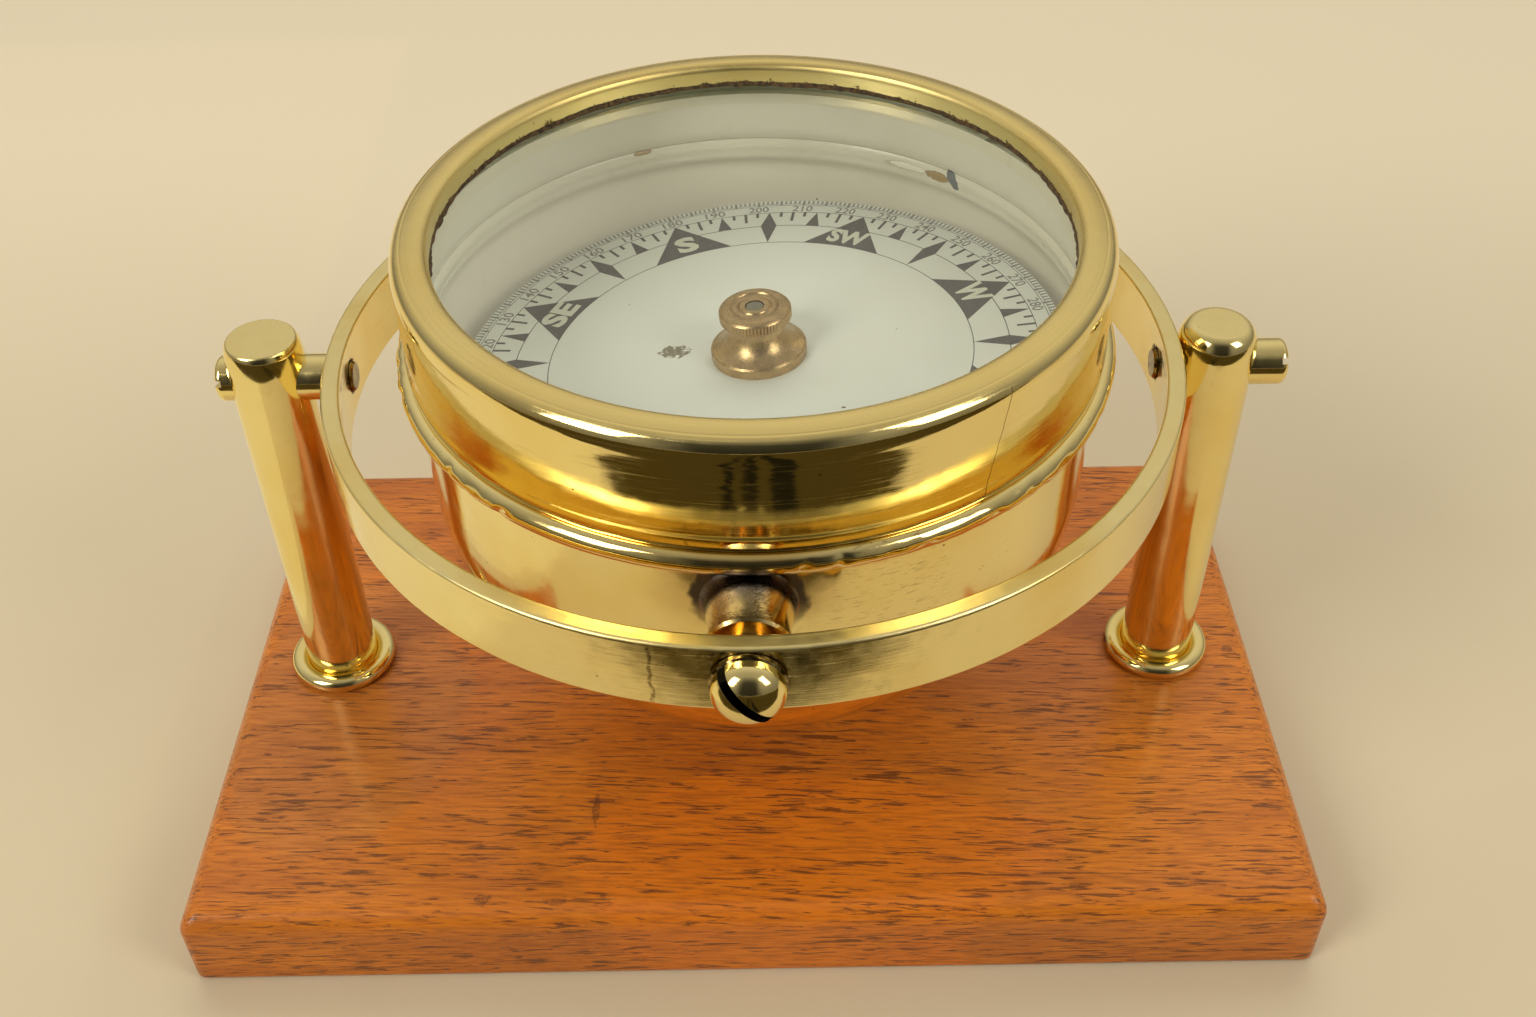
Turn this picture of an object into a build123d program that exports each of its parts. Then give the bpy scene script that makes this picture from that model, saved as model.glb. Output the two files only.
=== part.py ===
from build123d import *

import math
import os

# A small ship's compass hung in gimbals on a wooden board.
# Millimetres, +Z up, +Y to the back. The origin is the middle of the board's underside.

# Board
board_width = 200.0
board_depth = 120.4
board_thickness = 17.2
board_corner_round = 2.0
board_top_round = 4.2
board_bottom_round = 1.2

# Posts and the beads round their feet
post_radius = 6.7
post_top_z = 95.4
post_line_y = 2.3
left_post_x = -81.6
right_post_x = 80.65
left_post_shoulder = (1.1, 4.6)
right_post_shoulder = (2.5, 4.2)
collar_radius = 10.15
collar_height = 2.9
collar_crest_radius = 8.4
collar_inner_height = 1.8
press_gap = 0.02

# Screws that hold the posts, let in from below
post_screw_radius = 2.4
post_screw_length = 26.5
post_screw_head_radius = 4.6
post_screw_head_height = 3.0
washer_radius = 5.3
washer_thickness = 0.8
counterbore_radius = 5.8
counterbore_depth = 5.6

# Gimbal centre, where the two tilt axes meet. The front-rear axis is a little off square.
centre_x = 1.6
centre_y = 2.3
centre_z = 87.3
tilt_axis_turn = -0.8

# Gimbal ring
ring_outer_radius = 72.2
ring_inner_radius = 69.1
ring_height = 12.5
ring_edge_round = 0.6
running_gap = 0.05

# Gimbal pins: body in the post, thinner tip through the ring
pin_radius = 4.0
pin_tip_radius = 2.7
pin_shoulder_gap = 0.1
pin_tip_inside_ring = 0.7
left_pin_outside_post = 1.9
right_pin_outside_post = 5.4
pin_end_round = 1.1
pin_slot_width = 1.1
pin_slot_depth = 1.3
left_pin_slot_turn = 20.0
right_pin_slot_turn = -35.0

# Bowl; its own upright axis stands half a millimetre to the right of the gimbal centre
bowl_x = 2.1
bowl_radius = 57.1
bowl_wall = 1.4
bowl_straight_z = 76.0
bowl_bottom_z = 30.6
bowl_flat_radius = 9.0
bead_radius = 1.9
bead_centre_radius = 57.9
bead_z = 96.4
upstand_outer_radius = 55.9
upstand_inner_radius = 54.5
upstand_top_z = 101.3

# Bezel
bezel_radius = 57.9
bezel_skirt_inner_radius = 56.0
bezel_bottom_z = 98.4
bezel_foot_height = 2.6
bezel_foot_step = 0.12
bezel_top_z = 118.3
bezel_opening_radius = 51.7
lip_bottom_z = 114.05

# Glass and what holds it
glass_radius = 55.8
glass_thickness = 3.0
glass_bottom_z = 111.0
seat_ring_inner_radius = 54.3
seat_ring_gap = 0.12
putty_inner_radius = 50.8
putty_height = 0.9

# Bosses, solder and pivot screws at the front and rear.
# Distances are measured out from the gimbal centre.
boss_radius = 6.6
boss_waist_radius = 6.1
boss_face = 66.7
boss_neck_radius = 4.0
boss_neck_end = 68.8
solder_radius = 7.1
solder_edge = 0.2
solder_height = 1.5
thread_radius = 2.2
thread_start = 59.5
screw_shank_radius = 2.75
collar_start = 72.3
screw_collar_thickness = 1.0
screw_collar_radius = 5.6
screw_head_radius = 5.35
screw_head_side = 1.0
screw_head_dome = 3.8
screw_slot_width = 1.45
screw_slot_depth = 2.4
front_slot_turn = 46.0
rear_slot_turn = -15.0

# Stem, needle and ballast in the bottom of the bowl
stem_foot_radius = 9.0
stem_foot_thickness = 2.4
stem_bolt_radius = 3.0
stem_column_radius = 2.8
stem_shoulder_z = 84.0
stem_top_z = 88.0
stem_top_radius = 1.4
stem_end_z = 26.0
needle_radius = 0.75
needle_start_z = 80.0
needle_cone_height = 1.8
ballast_radius = 24.5
ballast_foot_radius = 9.0
ballast_edge_z = 36.6
ballast_top_z = 42.0
stem_washer_radius = 7.0
stem_washer_thickness = 1.0
stem_nut_across_flats = 10.0
stem_nut_height = 3.0

# Card, drawn level about the pivot and then leaned
pivot_z = 98.8
card_drop = 7.8
card_radius = 51.7
card_thickness = 0.4
card_lean = 4.6
card_lean_axis_heading = 245.7
card_north_heading = -70.2

# Boss in the middle of the card; heights are above the card's face
boss_base_radius = 8.15
boss_base_height = 1.9
boss_flare_radius = 7.5
boss_waist_height = 5.2
boss_neck = 4.7
boss_top = 6.9
boss_spigot_radius = 5.0
boss_spigot_end = -3.0
boss_cavity_radius = 3.4
boss_cavity_top = 5.4
cap_thread_radius = 3.6

# Knurled cap nut and the jewel in it
cap_radius = 6.1
cap_bottom = 7.0
cap_knurl_top = 8.75
cap_top = 9.45
cap_groove_inner_radius = 2.5
cap_groove_outer_radius = 4.1
cap_groove_depth = 0.45
knurl_count = 64
knurl_depth = 0.22
jewel_radius = 1.6
jewel_bottom = 6.6
jewel_top = 9.3
jewel_mouth_radius = 1.25
needle_gap = 0.05

# Magnets under the card
carrier_length = 42.0
carrier_width = 26.0
carrier_thickness = 0.6
carrier_corner_round = 4.0
carrier_nut_radius = 7.6
carrier_nut_thickness = 1.5
magnet_length = 62.0
magnet_width = 5.0
magnet_thickness = 2.2
magnet_offset = 14.0
strap_offset = 8.5
strap_width = 4.0
strap_thickness = 0.5
strap_lug = 3.2
rivet_radius = 0.7
rivet_head_radius = 1.2
rivet_head_height = 0.4


def turned(outline, x=bowl_x, y=centre_y):
    """Solid of revolution of a closed (radius, height) outline about a vertical axis at x, y."""
    profile = make_face(Plane.XZ * outline)
    return Pos(x, y, 0) * revolve(profile, Axis.Z)


def turned_outward(outline, side):
    """Solid of revolution about the front-rear tilt axis.

    The outline is (distance from the gimbal centre, radius); side is -1 for the front, +1 for the rear.
    """
    profile = make_face(Plane.XY * outline)
    solid = revolve(profile, Axis.X)
    return Pos(centre_x, centre_y, centre_z) * Rot(0, 0, 90 * side + tilt_axis_turn) * solid


def disc(radius, bottom, top, x=bowl_x, y=centre_y):
    """Upright cylinder between two heights."""
    return Pos(x, y, (bottom + top) / 2) * Cylinder(radius, top - bottom)


def make_base_board():
    board = Pos(0, 0, board_thickness / 2) * Box(board_width, board_depth, board_thickness)
    board = fillet(board.edges().filter_by(Axis.Z), board_corner_round)
    board = fillet(board.edges().group_by(Axis.Z)[-1], board_top_round)
    board = fillet(board.edges().group_by(Axis.Z)[0], board_bottom_round)
    for post_x in (left_post_x, right_post_x):
        board -= disc(post_screw_radius + 0.3, 0, board_thickness, post_x, post_line_y)
        board -= disc(counterbore_radius, 0, counterbore_depth, post_x, post_line_y)
    return board


def make_post(post_x, shoulder):
    """Round post; shoulder is the (width, height) of the elliptical rounding at its top."""
    shoulder_width, shoulder_height = shoulder
    flat_radius = post_radius - shoulder_width
    shoulder_z = post_top_z - shoulder_height
    outline = [
        Polyline((0, board_thickness), (post_radius, board_thickness), (post_radius, shoulder_z)),
        EllipticalCenterArc((flat_radius, shoulder_z), shoulder_width, shoulder_height, arc_size=90),
        Polyline((flat_radius, post_top_z), (0, post_top_z), (0, board_thickness)),
    ]
    post = turned(Curve() + outline, post_x, post_line_y)
    screw_top = counterbore_depth + post_screw_length
    post -= disc(post_screw_radius + press_gap, board_thickness, screw_top, post_x, post_line_y)
    cross_hole = Cylinder(pin_radius + press_gap, 4 * post_radius, rotation=(0, 90, 0))
    return post - Pos(post_x, post_line_y, centre_z) * cross_hole


def make_post_collar(post_x):
    inner = post_radius + press_gap
    bottom = board_thickness
    crest = (collar_crest_radius, board_thickness + collar_height)
    inner_top = (inner, board_thickness + collar_inner_height)
    foot = (collar_radius - 0.6, bottom)
    outline = [
        Line((inner, bottom), foot),
        ThreePointArc(foot, (collar_radius, bottom + 0.45 * collar_height), crest),
        ThreePointArc(crest, (inner + 0.7, crest[1] - 0.28), inner_top),
        Line(inner_top, (inner, bottom)),
    ]
    return turned(Curve() + outline, post_x, post_line_y)


def make_post_screws():
    screws = []
    head_top = counterbore_depth - washer_thickness
    head_bottom = head_top - post_screw_head_height
    for post_x in (left_post_x, right_post_x):
        head = disc(post_screw_head_radius, head_bottom, head_top, post_x, post_line_y)
        shank_top = head_top + post_screw_length
        shank = disc(post_screw_radius, head_top, shank_top, post_x, post_line_y)
        slot = Box(2 * post_screw_head_radius + 2, 1.2, 2.4)
        screws.append(head + shank - Pos(post_x, post_line_y, head_bottom) * slot)
    return Compound(children=screws)


def make_post_screw_washers():
    washers = []
    bottom = counterbore_depth - washer_thickness
    for post_x in (left_post_x, right_post_x):
        plate = disc(washer_radius, bottom, counterbore_depth, post_x, post_line_y)
        hole = disc(post_screw_radius + 0.2, bottom, counterbore_depth, post_x, post_line_y)
        washers.append(plate - hole)
    return Compound(children=washers)


def make_gimbal_pin(side, post_x, outside_post, slot_turn):
    """Pin along X, drawn outward from the gimbal centre; side is -1 for the left, +1 for the right."""
    tip = ring_inner_radius - pin_tip_inside_ring
    shoulder = ring_outer_radius + pin_shoulder_gap
    end = abs(post_x - centre_x) + post_radius + outside_post
    shaft = Pos((tip + shoulder) / 2, 0, 0) * Cylinder(pin_tip_radius, shoulder - tip, rotation=(0, 90, 0))
    shaft = chamfer(shaft.edges().group_by(Axis.X)[0], 0.4)
    body = Pos((shoulder + end) / 2, 0, 0) * Cylinder(pin_radius, end - shoulder, rotation=(0, 90, 0))
    body = fillet(body.edges().group_by(Axis.X)[-1], pin_end_round)
    slot = Box(2 * pin_slot_depth, 2 * pin_radius + 2, pin_slot_width)
    body -= Pos(end, 0, 0) * Rot(slot_turn, 0, 0) * slot
    turn = 0 if side > 0 else 180
    return Pos(centre_x, post_line_y, centre_z) * Rot(0, 0, turn) * (shaft + body)


def make_gimbal_ring():
    bottom = centre_z - ring_height / 2
    top = centre_z + ring_height / 2
    ring = disc(ring_outer_radius, bottom, top, centre_x)
    ring -= disc(ring_inner_radius, bottom, top, centre_x)
    ring = fillet(ring.edges().filter_by(GeomType.CIRCLE), ring_edge_round)
    length = 3 * ring_outer_radius
    pin_holes = Cylinder(pin_tip_radius + running_gap, length, rotation=(0, 90, 0))
    screw_holes = Cylinder(screw_shank_radius + running_gap, length, rotation=(90, 0, 0))
    holes = pin_holes + Rot(0, 0, tilt_axis_turn) * screw_holes
    return ring - Pos(centre_x, centre_y, centre_z) * holes


def bowl_belly(wall):
    """Quarter-ellipse belly of the bowl, drawn at the given depth into the wall."""
    return EllipticalCenterArc(
        (bowl_flat_radius, bowl_straight_z),
        bowl_radius - bowl_flat_radius - wall,
        bowl_straight_z - bowl_bottom_z - wall,
        start_angle=270,
        arc_size=90,
    )


def make_bowl_body():
    """Bowl up to the bead, open at the top, with the hole for the stem."""
    inner_radius = bowl_radius - bowl_wall
    inner_bottom = bowl_bottom_z + bowl_wall
    hole = stem_bolt_radius + press_gap
    outline = [
        Line((hole, bowl_bottom_z), (bowl_flat_radius, bowl_bottom_z)),
        bowl_belly(0),
        Line((bowl_radius, bowl_straight_z), (bowl_radius, bead_z)),
        Line((bowl_radius, bead_z), (inner_radius, bead_z)),
        Line((inner_radius, bead_z), (inner_radius, bowl_straight_z)),
        bowl_belly(bowl_wall),
        Line((bowl_flat_radius, inner_bottom), (hole, inner_bottom)),
        Line((hole, inner_bottom), (hole, bowl_bottom_z)),
    ]
    return turned(Curve() + outline)


def make_upstand():
    """Neck above the bead, with two soft rolls on its inner face."""
    roll_top = upstand_top_z - 0.4
    waist = (upstand_inner_radius + 0.2, bead_z + 2.3)
    start = (bowl_radius - bowl_wall, bead_z)
    outline = [
        Line(start, (upstand_outer_radius, bead_z)),
        Line((upstand_outer_radius, bead_z), (upstand_outer_radius, upstand_top_z)),
        Line((upstand_outer_radius, upstand_top_z), (upstand_inner_radius + 0.8, upstand_top_z)),
        Line((upstand_inner_radius + 0.8, upstand_top_z), (upstand_inner_radius + 0.4, roll_top)),
        ThreePointArc(
            (upstand_inner_radius + 0.4, roll_top),
            (upstand_inner_radius, bead_z + 3.3),
            waist,
        ),
        ThreePointArc(waist, (upstand_inner_radius + 0.1, bead_z + 1.6), start),
    ]
    return turned(Curve() + outline)


def make_bowl_shell():
    bead_outline = Pos(bead_centre_radius, bead_z) * Circle(bead_radius)
    bead = Pos(bowl_x, centre_y, 0) * revolve(Plane.XZ * bead_outline, Axis.Z)
    bead -= disc(upstand_outer_radius, bead_z - 4, bead_z + 4)
    return make_bowl_body() + make_upstand() + bead


def make_boss(side):
    outline = [
        Polyline((55.0, 0), (55.0, boss_radius), (59.5, boss_radius)),
        ThreePointArc(
            (59.5, boss_radius),
            (62.8, boss_waist_radius),
            (boss_face - 0.4, boss_radius),
        ),
        Polyline(
            (boss_face - 0.4, boss_radius),
            (boss_face, boss_radius - 0.4),
            (boss_face, boss_neck_radius),
            (boss_neck_end, boss_neck_radius),
            (boss_neck_end, thread_radius + press_gap),
            (thread_start - 0.5, thread_radius + press_gap),
            (thread_start - 0.5, 0),
            (55.0, 0),
        ),
    ]
    boss = turned_outward(Curve() + outline, side)
    return boss - disc(bowl_radius, bowl_straight_z, bead_z)


def make_solder(side):
    """Concave fillet of solder between the boss and the bowl wall."""
    inside = bowl_radius - 2
    edge = (bowl_radius + solder_edge, solder_radius)
    top = (bowl_radius + solder_height, boss_radius)
    outline = [
        Polyline((inside, boss_radius), (inside, solder_radius), edge),
        ThreePointArc(edge, (bowl_radius + 0.7, boss_radius + 0.15), top),
        Line(top, (inside, boss_radius)),
    ]
    solder = turned_outward(Curve() + outline, side)
    return solder - disc(bowl_radius, bowl_straight_z, bead_z)


def make_pivot_screw(side, slot_turn):
    head_start = collar_start + screw_collar_thickness
    dome_start = head_start + screw_head_side
    dome_top = dome_start + screw_head_dome
    outline = [
        Polyline(
            (thread_start, 0),
            (thread_start, thread_radius),
            (boss_neck_end, thread_radius),
            (boss_neck_end, screw_shank_radius),
            (head_start, screw_shank_radius),
            (head_start, screw_head_radius),
            (dome_start, screw_head_radius),
        ),
        EllipticalCenterArc((dome_start, 0), screw_head_dome, screw_head_radius, arc_size=90),
        Line((dome_top, 0), (thread_start, 0)),
    ]
    screw = turned_outward(Curve() + outline, side)
    slot = Box(2 * screw_head_radius + 2, 2 * screw_slot_depth, screw_slot_width)
    centre = Pos(centre_x, centre_y, centre_z)
    at_head = centre * Rot(0, 0, tilt_axis_turn) * Pos(0, side * dome_top, 0)
    return screw - at_head * Rot(0, slot_turn, 0) * slot


def make_screw_collar(side):
    end = collar_start + screw_collar_thickness
    bore = screw_shank_radius + press_gap
    edge = 0.3
    outline = Polyline(
        (collar_start, bore),
        (collar_start, screw_collar_radius),
        (end - edge, screw_collar_radius),
        (end, screw_collar_radius - edge),
        (end, bore),
        (collar_start, bore),
    )
    return turned_outward(outline, side)


def make_bezel():
    """Deep cap ring: foot, skirt, rounded shoulder, fine groove, dished top and inward lip."""
    foot_top = bezel_bottom_z + bezel_foot_height
    foot_radius = bezel_radius + bezel_foot_step
    shoulder = (bezel_radius, bezel_top_z - 4.2)
    ridge = (bezel_radius - 1.6, bezel_top_z - 0.45)
    groove = (bezel_radius - 1.95, bezel_top_z - 0.55)
    flat_outer = (bezel_radius - 2.3, bezel_top_z - 0.38)
    flat_inner = (bezel_opening_radius + 1.5, bezel_top_z)
    lip_edge = (bezel_opening_radius, bezel_top_z - 1.4)
    outline = [
        Polyline(
            (bezel_skirt_inner_radius, bezel_bottom_z),
            (foot_radius, bezel_bottom_z),
            (foot_radius, foot_top - bezel_foot_step),
            (bezel_radius, foot_top),
            shoulder,
        ),
        ThreePointArc(shoulder, (bezel_radius - 0.25, bezel_top_z - 1.75), ridge),
        ThreePointArc(ridge, groove, flat_outer),
        Line(flat_outer, flat_inner),
        ThreePointArc(flat_inner, (bezel_opening_radius + 0.4, bezel_top_z - 0.4), lip_edge),
        Polyline(
            lip_edge,
            (bezel_opening_radius, lip_bottom_z),
            (bezel_skirt_inner_radius, lip_bottom_z),
            (bezel_skirt_inner_radius, bezel_bottom_z),
        ),
    ]
    return turned(Curve() + outline)


def make_glass():
    glass = disc(glass_radius, glass_bottom_z, glass_bottom_z + glass_thickness)
    return chamfer(glass.edges(), 0.3)


def make_glass_putty():
    glass_top = glass_bottom_z + glass_thickness
    outline = Polyline(
        (putty_inner_radius, glass_top),
        (bezel_opening_radius, glass_top),
        (bezel_opening_radius, glass_top + putty_height),
        (putty_inner_radius, glass_top),
    )
    return turned(outline)


def make_glass_seat_ring():
    bottom = upstand_top_z + seat_ring_gap
    inner = seat_ring_inner_radius
    soft = 0.5
    outline = [
        Line((inner + soft, bottom), (upstand_outer_radius, bottom)),
        Line((upstand_outer_radius, bottom), (upstand_outer_radius, glass_bottom_z)),
        Line((upstand_outer_radius, glass_bottom_z), (inner, glass_bottom_z)),
        Line((inner, glass_bottom_z), (inner, bottom + soft)),
        RadiusArc((inner, bottom + soft), (inner + soft, bottom), -soft),
    ]
    return turned(Curve() + outline)


def make_pivot_stem():
    foot_top = ballast_top_z + stem_foot_thickness
    socket = needle_radius + press_gap
    outline = [
        Polyline(
            (0, stem_end_z),
            (stem_bolt_radius - 0.4, stem_end_z),
            (stem_bolt_radius, stem_end_z + 0.4),
            (stem_bolt_radius, ballast_top_z),
            (stem_foot_radius, ballast_top_z),
            (stem_foot_radius, foot_top),
            (stem_column_radius + 2.0, foot_top),
        ),
        RadiusArc(
            (stem_column_radius + 2.0, foot_top),
            (stem_column_radius, foot_top + 2.0),
            2.0,
        ),
        Polyline(
            (stem_column_radius, foot_top + 2.0),
            (stem_column_radius, stem_shoulder_z),
            (stem_top_radius, stem_top_z),
            (socket, stem_top_z),
            (socket, needle_start_z),
            (0, needle_start_z),
            (0, stem_end_z),
        ),
    ]
    return turned(Curve() + outline)


def make_pivot_point():
    tip_z = pivot_z - needle_gap
    outline = Polyline(
        (0, needle_start_z),
        (needle_radius, needle_start_z),
        (needle_radius, tip_z - needle_cone_height),
        (0, tip_z),
        (0, needle_start_z),
    )
    return turned(outline)


def make_ballast_weight():
    bottom = bowl_bottom_z + bowl_wall
    bore = stem_bolt_radius + press_gap
    outline = Polyline(
        (bore, bottom),
        (ballast_foot_radius, bottom),
        (ballast_radius, ballast_edge_z),
        (ballast_radius, ballast_top_z - 1.0),
        (ballast_radius - 1.0, ballast_top_z),
        (bore, ballast_top_z),
        (bore, bottom),
    )
    return turned(outline)


def make_stem_washer():
    bottom = bowl_bottom_z - stem_washer_thickness
    bore = stem_bolt_radius + press_gap
    return disc(stem_washer_radius, bottom, bowl_bottom_z) - disc(bore, bottom, bowl_bottom_z)


def make_stem_nut():
    top = bowl_bottom_z - stem_washer_thickness
    corner_radius = stem_nut_across_flats / 2 / math.cos(math.radians(30))
    hexagon = RegularPolygon(corner_radius, 6) - Circle(stem_bolt_radius + press_gap)
    return Pos(bowl_x, centre_y, top - stem_nut_height) * extrude(hexagon, stem_nut_height)


def lean_card(piece):
    """Places a piece drawn about the pivot (north along +Y) on the leaning, turned card."""
    heading = math.radians(card_lean_axis_heading)
    lean_axis = Axis((0, 0, 0), (math.cos(heading), math.sin(heading), 0))
    turned_piece = piece.rotate(Axis.Z, card_north_heading - 90)
    leaned_piece = turned_piece.rotate(lean_axis, card_lean)
    return Pos(bowl_x, centre_y, pivot_z) * leaned_piece


def above_card(height):
    """Height above the pivot of a level given above the card's face."""
    return height - card_drop


def card_disc(radius, bottom, top):
    """Cylinder about the card's axis between two heights above the card's face."""
    return Pos(0, 0, above_card((bottom + top) / 2)) * Cylinder(radius, top - bottom)


def card_turned(outline):
    """Solid of revolution about the card's axis; the outline's heights are above the card's face."""
    return Pos(0, 0, above_card(0)) * revolve(make_face(Plane.XZ * outline), Axis.Z)


def make_compass_card():
    return card_disc(card_radius, -card_thickness, 0) - card_disc(
        boss_spigot_radius + press_gap, -card_thickness, 0
    )


def make_card_boss():
    base_top = boss_base_height
    flare_foot = (boss_flare_radius, base_top + 0.15)
    waist = (boss_neck, boss_waist_height)
    outline = [
        Polyline(
            (boss_cavity_radius, boss_spigot_end),
            (boss_spigot_radius, boss_spigot_end),
            (boss_spigot_radius, 0),
            (boss_base_radius, 0),
            (boss_base_radius, base_top - 0.3),
            (boss_base_radius - 0.3, base_top),
            flare_foot,
        ),
        ThreePointArc(flare_foot, (boss_neck + 0.9, base_top + 1.7), waist),
        Polyline(
            waist,
            (boss_neck, boss_top),
            (cap_thread_radius, boss_top),
            (cap_thread_radius, boss_cavity_top),
            (boss_cavity_radius, boss_cavity_top),
            (boss_cavity_radius, boss_spigot_end),
        ),
    ]
    return card_turned(Curve() + outline)


def make_cap_nut():
    bore = jewel_radius + press_gap
    crown = (cap_radius - 1.3, cap_top)
    outline = [
        Polyline(
            (bore, boss_cavity_top + 0.1),
            (cap_thread_radius - press_gap, boss_cavity_top + 0.1),
            (cap_thread_radius - press_gap, cap_bottom),
            (cap_radius - 0.3, cap_bottom),
            (cap_radius, cap_bottom + 0.3),
            (cap_radius, cap_knurl_top),
        ),
        ThreePointArc((cap_radius, cap_knurl_top), (cap_radius - 0.42, cap_top - 0.25), crown),
        Line(crown, (cap_groove_outer_radius, cap_top)),
        ThreePointArc(
            (cap_groove_outer_radius, cap_top),
            ((cap_groove_inner_radius + cap_groove_outer_radius) / 2, cap_top - cap_groove_depth),
            (cap_groove_inner_radius, cap_top),
        ),
        Polyline(
            (cap_groove_inner_radius, cap_top),
            (bore, cap_top),
            (bore, boss_cavity_top + 0.1),
        ),
    ]
    cap = card_turned(Curve() + outline)
    cutter_height = cap_knurl_top - cap_bottom
    cutter = Box(2 * knurl_depth, 2 * knurl_depth, cutter_height, rotation=(0, 0, 45))
    cutter_z = above_card((cap_bottom + cap_knurl_top) / 2)
    for location in PolarLocations(cap_radius + 0.1, knurl_count):
        cap -= Pos(0, 0, cutter_z) * location * cutter
    return cap


def make_jewel_cap():
    recess_top = card_drop
    outline = Polyline(
        (0, recess_top),
        (jewel_mouth_radius, jewel_bottom),
        (jewel_radius, jewel_bottom),
        (jewel_radius, jewel_top - 0.2),
        (jewel_radius - 0.2, jewel_top),
        (0, jewel_top),
        (0, recess_top),
    )
    return card_turned(outline)


def make_magnet_carrier():
    top = -card_thickness
    outline = RectangleRounded(carrier_length, carrier_width, carrier_corner_round)
    plate = Pos(0, 0, above_card(top - carrier_thickness)) * extrude(outline, carrier_thickness)
    plate -= card_disc(boss_spigot_radius + press_gap, top - 1, top)
    for rivet_place in rivet_places():
        plate -= rivet_place * Cylinder(rivet_radius + press_gap, 4)
    return plate


def make_carrier_nut():
    top = -card_thickness - carrier_thickness
    bottom = top - carrier_nut_thickness
    nut = card_disc(carrier_nut_radius, bottom, top)
    nut -= card_disc(boss_spigot_radius + press_gap, bottom, top)
    for location in PolarLocations(carrier_nut_radius, 2):
        nut -= Pos(0, 0, above_card(bottom)) * location * Box(2.4, 1.6, 1.6)
    return nut


def magnet_top():
    """Level of the carrier's underside, where the magnets lie, above the pivot."""
    return above_card(-card_thickness - carrier_thickness)


def make_magnet(side):
    bar = Box(magnet_width, magnet_length, magnet_thickness)
    bar = chamfer(bar.edges().filter_by(Axis.Z), 0.6)
    return Pos(side * magnet_offset, 0, magnet_top() - magnet_thickness / 2) * bar


def strap_places():
    """Centres of the four straps on the carrier's underside."""
    places = []
    for side in (-1, 1):
        for end in (-1, 1):
            places.append(Pos(side * magnet_offset, end * strap_offset, magnet_top()))
    return places


def rivet_places():
    """Centres of the eight rivets, one through each strap lug."""
    reach = magnet_width / 2 + strap_thickness + strap_lug / 2
    places = []
    for strap_place in strap_places():
        for side in (-1, 1):
            places.append(strap_place * Pos(side * reach, 0, 0))
    return places


def make_magnet_straps():
    gap = 0.03
    inner_width = magnet_width + 2 * gap
    inner_height = magnet_thickness + gap
    outer_width = inner_width + 2 * strap_thickness
    outer_height = inner_height + strap_thickness
    lug_span = outer_width + 2 * strap_lug
    straps = []
    for place in strap_places():
        lugs = Pos(0, 0, -strap_thickness / 2) * Box(lug_span, strap_width, strap_thickness)
        saddle = Pos(0, 0, -outer_height / 2) * Box(outer_width, strap_width, outer_height)
        tunnel = Pos(0, 0, -inner_height / 2) * Box(inner_width, strap_width, inner_height)
        strap = place * (lugs + saddle - tunnel)
        for rivet_place in rivet_places():
            strap -= rivet_place * Cylinder(rivet_radius + press_gap, 4)
        straps.append(strap)
    return straps


def make_strap_rivets():
    grip = carrier_thickness + strap_thickness
    rivets = []
    for place in rivet_places():
        shank = Pos(0, 0, (carrier_thickness - strap_thickness) / 2) * Cylinder(rivet_radius, grip)
        head_z = -strap_thickness - rivet_head_height / 2
        head = Pos(0, 0, head_z) * Cylinder(rivet_head_radius, rivet_head_height)
        rivets.append(place * (shank + head))
    return rivets


def write(name, shape):
    export_step(shape, f"parts/{name}.step")


def main():
    os.makedirs("parts", exist_ok=True)

    write("base_board", make_base_board())
    write("left_post", make_post(left_post_x, left_post_shoulder))
    write("right_post", make_post(right_post_x, right_post_shoulder))
    write("left_post_collar", make_post_collar(left_post_x))
    write("right_post_collar", make_post_collar(right_post_x))
    write("post_screws", make_post_screws())
    write("post_screw_washers", make_post_screw_washers())
    left_pin = make_gimbal_pin(-1, left_post_x, left_pin_outside_post, left_pin_slot_turn)
    right_pin = make_gimbal_pin(1, right_post_x, right_pin_outside_post, right_pin_slot_turn)
    write("left_gimbal_pin", left_pin)
    write("right_gimbal_pin", right_pin)

    write("gimbal_ring", make_gimbal_ring())

    write("bowl_shell", make_bowl_shell())
    for side_name, side, slot_turn in (("front", -1, front_slot_turn), ("rear", 1, rear_slot_turn)):
        write(f"{side_name}_boss", make_boss(side))
        write(f"{side_name}_solder", make_solder(side))
        write(f"{side_name}_pivot_screw", make_pivot_screw(side, slot_turn))
        write(f"{side_name}_screw_collar", make_screw_collar(side))
    write("bezel", make_bezel())
    write("glass", make_glass())
    write("glass_putty", make_glass_putty())
    write("glass_seat_ring", make_glass_seat_ring())
    write("pivot_stem", make_pivot_stem())
    write("pivot_point", make_pivot_point())
    write("ballast_weight", make_ballast_weight())
    write("stem_washer", make_stem_washer())
    write("stem_nut", make_stem_nut())

    write("compass_card", lean_card(make_compass_card()))
    write("card_boss", lean_card(make_card_boss()))
    write("cap_nut", lean_card(make_cap_nut()))
    write("jewel_cap", lean_card(make_jewel_cap()))
    write("magnet_carrier", lean_card(make_magnet_carrier()))
    write("carrier_nut", lean_card(make_carrier_nut()))
    write("left_magnet", lean_card(make_magnet(-1)))
    write("right_magnet", lean_card(make_magnet(1)))
    write("magnet_straps", Compound(children=[lean_card(strap) for strap in make_magnet_straps()]))
    write("strap_rivets", Compound(children=[lean_card(rivet) for rivet in make_strap_rivets()]))


main()
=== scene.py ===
import math

import bmesh
import bpy
from mathutils import Matrix, Vector, noise


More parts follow.
